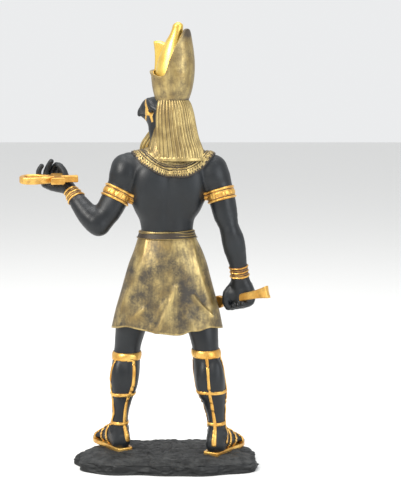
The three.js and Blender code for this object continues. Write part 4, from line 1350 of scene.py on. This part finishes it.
def legLace(form, leg, line, wide, proud, columns=9):
    # line is [z, degrees] going down
    line = spline(line, 90)
    run, degrees = line[:, 0], line[:, 1]
    places = np.linspace(-1, 1, columns)
    _, _, halfWide, halfDeep = lookUp(leg["rows"], run)
    size = 0.5 * (halfWide + halfDeep)
    slant = np.hypot(1, np.gradient(np.radians(degrees) * size, run))
    angle = np.radians(degrees)[:, None] + places[None, :] * (wide / 2 * slant / size)[:, None]
    heights = np.repeat(run[:, None], columns, 1)
    points, normals = skinOfLeg(form, leg, heights, angle)
    raised = np.broadcast_to(np.sqrt(1 - places ** 2)[None, :], points.shape[:2])
    top = points + normals * (0.3 + proud * raised)[..., None]
    return slab(top, points - normals * 0.6), np.concatenate([raised.ravel(), np.zeros(raised.size)])


def footStrap(form, leg, forward, wide, proud, steps=60, columns=9):
    ankle, toes, across = footAxes(leg)
    turns = np.linspace(-0.12, math.pi + 0.12, steps)
    places = np.linspace(-1, 1, columns)
    starts = np.empty((steps, columns, 3))
    directions = np.empty((steps, columns, 3))
    starts[:] = ankle + upward * (soleTop + 0.6) + toes * (forward + places[None, :, None] * wide / 2)
    directions[:] = (across * np.cos(turns)[:, None] + upward * np.sin(turns)[:, None])[:, None]
    points, normals = onSkin(form, starts, directions, 22, 24)
    raised = np.broadcast_to(np.sqrt(1 - places ** 2)[None, :], points.shape[:2])
    top = points + normals * (0.3 + proud * raised)[..., None]
    return slab(top, points - normals * 0.6), np.concatenate([raised.ravel(), np.zeros(raised.size)])


def roundRelief(share, angle):
    return np.sqrt(np.clip(1 - (2 * share - 1) ** 2, 0, 1)) + 0 * angle


soleOutline = outline((-9.2, -5.2), [(-9.2, 5.2)], [(-4, 6.8), (2, 6.0), (9, 6.8)],
                      [(18, 8.2), (32, 10.6), (32, 0)], [(32, -9.4), (18, -8.6), (9, -6.6)],
                      [(2, -5.8), (-4, -6.8), (-9.2, -5.2)])

for sideName, leg in legs.items():
    skin = legForm(leg)
    ankle, toes, across = footAxes(leg)
    corners = np.array([ankle + toes * 34 + across * 12, ankle + toes * 34 - across * 12, ankle - toes * 12,
                        [leg["rows"][0][1] - 14, -20, 0], [leg["rows"][0][1] + 14, 22, 0]])
    start = corners.min(0) - 2
    end = corners.max(0) + 2
    legMesh = cast(skin, (start[0] - 4, start[1], soleTop - 2), (end[0] + 4, end[1], 108), 0.7)
    makePiece(sideName + "Leg", legMesh, resinSkin, "figure_and_rock_base")
    parts, raised = [], []
    kneeLow, kneeHigh, *rings = leg["bands"]
    straps = [legBand(skin, leg, kneeLow, kneeHigh, roundRelief, 1.1, 26)]
    straps += [legBand(skin, leg, z - 1.3, z + 1.3, roundRelief, 0.8) for z in rings]
    straps += [legLace(skin, leg, line, 2.1, 0.55) for line in leg["laces"]]
    straps += [footStrap(skin, leg, forward, 2.3, 0.6) for forward in (8, 15, 22)]
    for shape, marks in straps:
        parts.append(shape)
        raised.append(marks)
    makePiece(sideName + "LegStraps", together(parts), brightGold, "figure_and_rock_base",
              {"raised": np.concatenate(raised)})
    soleAxes = (toes, np.cross(upward, toes), upward)
    soleForm = plate(soleOutline, soleThick, ankle + upward * (soleTop - soleThick / 2), soleAxes, 0.4)
    soleMesh = cast(soleForm, (start[0] - 3, start[1] - 3, soleTop - soleThick - 1),
                    (end[0] + 3, end[1] + 3, soleTop + 1), 0.6)
    makePiece(sideName + "Sole", soleMesh, brightGold, "figure_and_rock_base",
              {"raised": np.full(len(soleMesh[0]), 0.5)})


# Rock base

rock = {
    "middle": -0.9, "halfLong": 64.3, "halfDeep": 34.5, "squareness": 2.9,
    "rings": [[0, 0.985], [2.4, 1.0], [5.2, 0.99], [7.0, 0.955], [8.2, 0.88], [9.6, 0.8]],
    "columns": 400, "sideLevels": 36, "topLevels": 38,
}


def rockMesh():
    angles = np.arange(rock["columns"]) / rock["columns"] * fullTurn
    edge = 1 + 0.035 * np.sin(angles * 3 + 0.6) + 0.025 * np.sin(angles * 7 + 2)
    edge = edge + 0.018 * np.sin(angles * 13 + 1)
    power = rock["squareness"]
    squared = (np.abs(np.cos(angles)) ** power + np.abs(np.sin(angles)) ** power) ** (-1 / power)
    profile = spline(rock["rings"], rock["sideLevels"])
    rings = []
    for i, (z, spread) in enumerate(profile):
        place = i / (rock["sideLevels"] - 1) * 5
        ledge = 0.012 * np.sin(angles * 9 + place * 2.1) * min(1, place)
        reach = spread * (edge + ledge) / 1.045 * squared
        rings.append(np.stack([rock["middle"] + rock["halfLong"] * reach * np.cos(angles),
                               rock["halfDeep"] * reach * np.sin(angles), np.full(len(angles), z)], -1))
    last = rings[-1]
    centre = np.array([rock["middle"], 0, baseTop])
    for share in np.linspace(0, 1, rock["topLevels"] + 1)[1:-1]:
        rings.append(last + (centre - last) * share)
    rings = np.array(rings)
    out = rings[:, :, :2] - centre[:2]
    out = out / np.maximum(np.linalg.norm(out, axis=2, keepdims=True), 1e-6)
    stretched = rings * np.array([1, 1, 3.2])
    coarse = latticeNoise(stretched, 9.0, 3)
    middle = latticeNoise(stretched, 4.2, 5)
    fine = latticeNoise(rings, 1.7, 9)
    cracks = bump(latticeNoise(stretched, 8.0, 21), 0.1) + 0.6 * bump(latticeNoise(stretched, 4.4, 23), 0.1)
    rough = 1.0 * coarse + 0.9 * middle + 0.4 * fine - 0.8 * cracks
    onTop = np.zeros(rings.shape[:2])
    onTop[rock["sideLevels"]:] = 1
    onTop[:rock["sideLevels"]] = ease(profile[:, 0], 7.5, baseTop)[:, None]
    grounded = ease(rings[..., 2], 0.2, 1.5)
    moved = rings.copy()
    moved[..., :2] += out * ((rough - 0.9) * (1 - onTop) * grounded)[..., None]
    top = 0.55 * coarse + 0.45 * middle + 0.25 * fine - 0.5 * cracks - 0.15
    moved[..., 2] += np.clip(top, -1.1, 0.8) * onTop * grounded
    return loft(moved)


makePiece("rockBase", rockMesh(), resinRock, "figure_and_rock_base")


# Ankh and sword

def turnedAxes(x, y, z):
    cx, sx, cy, sy, cz, sz = (f(a) for a in (x, y, z) for f in (math.cos, math.sin))
    aboutX = np.array([[1, 0, 0], [0, cx, -sx], [0, sx, cx]])
    aboutY = np.array([[cy, 0, sy], [0, 1, 0], [-sy, 0, cy]])
    aboutZ = np.array([[cz, -sz, 0], [sz, cz, 0], [0, 0, 1]])
    return (aboutX @ aboutY @ aboutZ).T


ankhAt = (72.4, -1.6, 196.0)
ankhOutline = outline(
    (-13.6, -2.6), [(-8, -1.7), (-2.6, -2.0)], [(-3.2, -5.6), (-4.8, -9.4)], [(4.8, -9.4)],
    [(3.2, -5.6), (2.6, -2.6)], [(8, -5.4), (11, -7.8), (17, -7.8)], [(28.6, -7.8), (28.6, 7.8), (17, 7.8)],
    [(11, 7.8), (8, 5.4), (2.6, 2.6)], [(3.2, 5.6), (4.8, 9.4)], [(-4.8, 9.4)],
    [(-3.2, 5.6), (-2.6, 2.0)], [(-8, 1.7), (-13.6, 2.6)])
ankhEye = outline((6.4, 0), [(11, 3.2), (13, 4.6), (17, 4.6)], [(23.8, 4.6), (23.8, -4.6), (17, -4.6)],
                  [(13, -4.6), (11, -3.2), (6.4, 0)])
ankhForm = plate(ankhOutline, 4.7, ankhAt, turnedAxes(-0.09, 0, 0.1), 1.0, ankhEye)
ankhMesh = cast(ankhForm, (57, -13, 191), (99, 10, 201), 0.45)
makePiece("ankhPiece", ankhMesh, brightGold, "ankh", {"raised": np.full(len(ankhMesh[0]), 0.5)})

gripOutline = outline(
    (-28.6, -4.2), [(-20, -2.6), (-12, -2.6)], [(11.4, -2.6)], [(13.8, -4.8), (17.2, -4.2)], [(17.2, 4.2)],
    [(13.8, 4.8), (11.4, 2.6)], [(-12, 2.6)], [(-20, 2.6), (-28.6, 4.2)], [(-27.4, 0), (-28.6, -4.2)])
bladeOutline = outline(
    (16, -2.2), [(26, -2.4)], [(32, -12), (54, -15), (63, 3)], [(56, -5), (41, -6), (34, 0.2)],
    [(30, 3.4), (16, 2.2)])
swordAxes = (gripAhead, gripUp, gripOut)
swordForm = form(("add", plate(gripOutline, 4.2, gripAt, swordAxes, 1.0), 0.5),
                 ("add", plate(bladeOutline, 2.4, gripAt, swordAxes, 0.7), 0.5))
swordMesh = cast(swordForm, (-72, -42, 91), (2, 22, 128), 0.5)
makePiece("khopeshPiece", swordMesh, brightGold, "khopesh",
          {"raised": np.full(len(swordMesh[0]), 0.5)})


# Floor and light

def paleMaterial():
    material, tree, surface = newMaterial("paleFloor", Roughness=0.85)
    surface.inputs["Base Color"].default_value = (0.8, 0.8, 0.79, 1)
    return material


bpy.context.scene.view_settings.view_transform = "Standard"

floorMesh = bpy.data.meshes.new("floor")
floorMesh.from_pydata([(-3, -3, 0), (3, -3, 0), (3, 3, 0), (-3, 3, 0)], [], [(0, 1, 2, 3)])
floorMesh.materials.append(paleMaterial())
floor = bpy.data.objects.new("floor", floorMesh)
bpy.context.scene.collection.objects.link(floor)

world = bpy.data.worlds.new("softRoom")
bpy.context.scene.world = world
world.use_nodes = True
world.node_tree.nodes["Background"].inputs["Color"].default_value = (0.98, 0.99, 1.0, 1)
world.node_tree.nodes["Background"].inputs["Strength"].default_value = 0.85

lamps = {
    "key": {"place": (620, 560, 760), "size": 420, "power": 9.0, "colour": (1.0, 0.97, 0.92)},
    "fill": {"place": (-620, 520, 360), "size": 520, "power": 3.0, "colour": (0.9, 0.95, 1.0)},
    "above": {"place": (0, -80, 1000), "size": 600, "power": 5.0, "colour": (1.0, 1.0, 1.0)},
}
for name, lamp in lamps.items():
    light = bpy.data.lights.new(name, "AREA")
    light.size = lamp["size"] * mm
    light.energy = lamp["power"]
    light.color = lamp["colour"]
    holder = bpy.data.objects.new(name, light)
    place = np.array(lamp["place"], float) * mm
    toward = unit(np.array([0, 0, 0.15]) - place)
    holder.location = place
    holder.rotation_euler = (math.acos(-toward[2]), 0, math.atan2(toward[1], toward[0]) - math.pi / 2)
    bpy.context.scene.collection.objects.link(holder)
print("stage ready")
